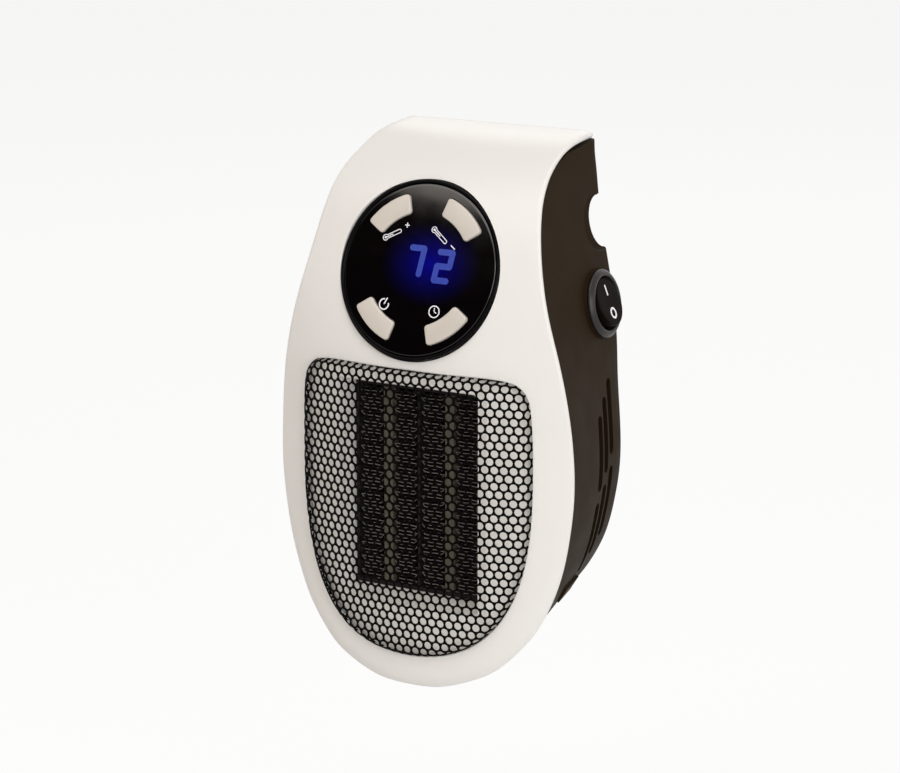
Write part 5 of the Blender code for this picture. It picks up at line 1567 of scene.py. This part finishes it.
def build_camera():
    lens = bpy.data.cameras.new("camera")
    lens.sensor_width = 36
    lens.lens = CAMERA_LENS
    lens.clip_end = 30
    camera = bpy.data.objects.new("camera", lens)
    ahead = Vector(CAMERA_AHEAD).normalized()
    right = Vector((math.cos(CAMERA_TURN), math.sin(CAMERA_TURN), 0))
    camera.matrix_world = axes(CAMERA_PLACE, right, right.cross(ahead), -ahead)
    bpy.context.scene.collection.objects.link(camera)
    bpy.context.scene.camera = camera


# Operators


class HEATER_OT_stage(bpy.types.Operator):
    """Floor, background, lamps and camera"""

    bl_idname = "heater.stage"
    bl_label = "Stage"

    def execute(self, context):
        context.scene.view_settings.view_transform = "Standard"
        build_floor()
        build_dark_screen()
        build_world()
        build_lamps()
        build_camera()
        return {"FINISHED"}


class HEATER_OT_cover(bpy.types.Operator):
    """White bowed cover with its screw posts"""

    bl_idname = "heater.cover"
    bl_label = "Cover"

    def execute(self, context):
        build_cover()
        return {"FINISHED"}


class HEATER_OT_housing(bpy.types.Operator):
    """Dark rear housing with vents, finger scoops and intake"""

    bl_idname = "heater.housing"
    bl_label = "Housing"

    def execute(self, context):
        build_housing()
        return {"FINISHED"}


class HEATER_OT_grille(bpy.types.Operator):
    """Pierced black outlet grille with a turned-back edge"""

    bl_idname = "heater.grille"
    bl_label = "Grille"

    def execute(self, context):
        build_grille()
        return {"FINISHED"}


class HEATER_OT_pan(bpy.types.Operator):
    """White plate behind the grille"""

    bl_idname = "heater.pan"
    bl_label = "Outlet pan"

    def execute(self, context):
        build_pan()
        return {"FINISHED"}


class HEATER_OT_element(bpy.types.Operator):
    """Heating element with folded fins"""

    bl_idname = "heater.element"
    bl_label = "Heating element"

    def execute(self, context):
        build_element()
        return {"FINISHED"}


class HEATER_OT_disc(bpy.types.Operator):
    """Glossy control disc and its ring"""

    bl_idname = "heater.disc"
    bl_label = "Control disc"

    def execute(self, context):
        build_disc()
        return {"FINISHED"}


class HEATER_OT_keys(bpy.types.Operator):
    """Four keys"""

    bl_idname = "heater.keys"
    bl_label = "Keys"

    def execute(self, context):
        build_keys()
        return {"FINISHED"}


class HEATER_OT_display(bpy.types.Operator):
    """Lit digits and printed marks"""

    bl_idname = "heater.display"
    bl_label = "Display"

    def execute(self, context):
        build_display()
        return {"FINISHED"}


class HEATER_OT_switch(bpy.types.Operator):
    """Round rocker switch"""

    bl_idname = "heater.switch"
    bl_label = "Switch"

    def execute(self, context):
        build_switch()
        return {"FINISHED"}


class HEATER_OT_plug(bpy.types.Operator):
    """Wall plug with two blades"""

    bl_idname = "heater.plug"
    bl_label = "Plug"

    def execute(self, context):
        build_plug()
        return {"FINISHED"}


class HEATER_OT_fan(bpy.types.Operator):
    """Fan wheel, motor, bracket and duct plate"""

    bl_idname = "heater.fan"
    bl_label = "Fan"

    def execute(self, context):
        build_fan()
        return {"FINISHED"}


class HEATER_OT_boards(bpy.types.Operator):
    """Circuit boards and what they carry"""

    bl_idname = "heater.boards"
    bl_label = "Boards"

    def execute(self, context):
        build_boards()
        return {"FINISHED"}


class HEATER_OT_screws(bpy.types.Operator):
    """Four housing screws"""

    bl_idname = "heater.screws"
    bl_label = "Screws"

    def execute(self, context):
        build_screws()
        return {"FINISHED"}


STEPS = (
    HEATER_OT_stage,
    HEATER_OT_cover,
    HEATER_OT_housing,
    HEATER_OT_grille,
    HEATER_OT_pan,
    HEATER_OT_element,
    HEATER_OT_disc,
    HEATER_OT_keys,
    HEATER_OT_display,
    HEATER_OT_switch,
    HEATER_OT_plug,
    HEATER_OT_fan,
    HEATER_OT_boards,
    HEATER_OT_screws,
)


class HEATER_PT_pieces(bpy.types.Panel):
    """Lists the heater's pieces and their sizes and colours"""

    bl_idname = "HEATER_PT_pieces"
    bl_label = "Plug-in Fan Heater"
    bl_space_type = "VIEW_3D"
    bl_region_type = "UI"
    bl_category = "Heater"

    def draw(self, context):
        layout = self.layout
        for step in STEPS:
            layout.operator(step.bl_idname)
        for group in (context.scene.heater_sizes, context.scene.heater_colours):
            box = layout.box()
            for name in group.bl_rna.properties.keys():
                if name not in ("rna_type", "name"):
                    box.prop(group, name)


CLASSES = (HeaterSizes, HeaterColours, *STEPS, HEATER_PT_pieces)


def register():
    for item in CLASSES:
        bpy.utils.register_class(item)
    bpy.types.Scene.heater_sizes = PointerProperty(type=HeaterSizes)
    bpy.types.Scene.heater_colours = PointerProperty(type=HeaterColours)


def unregister():
    del bpy.types.Scene.heater_colours
    del bpy.types.Scene.heater_sizes
    for item in reversed(CLASSES):
        bpy.utils.unregister_class(item)


def main():
    register()
    bpy.ops.heater.stage()
    bpy.ops.heater.cover()
    bpy.ops.heater.housing()
    bpy.ops.heater.grille()
    bpy.ops.heater.pan()
    bpy.ops.heater.element()
    bpy.ops.heater.disc()
    bpy.ops.heater.keys()
    bpy.ops.heater.display()
    bpy.ops.heater.switch()
    bpy.ops.heater.plug()
    bpy.ops.heater.fan()
    bpy.ops.heater.boards()
    bpy.ops.heater.screws()


if __name__ == "__main__":
    main()
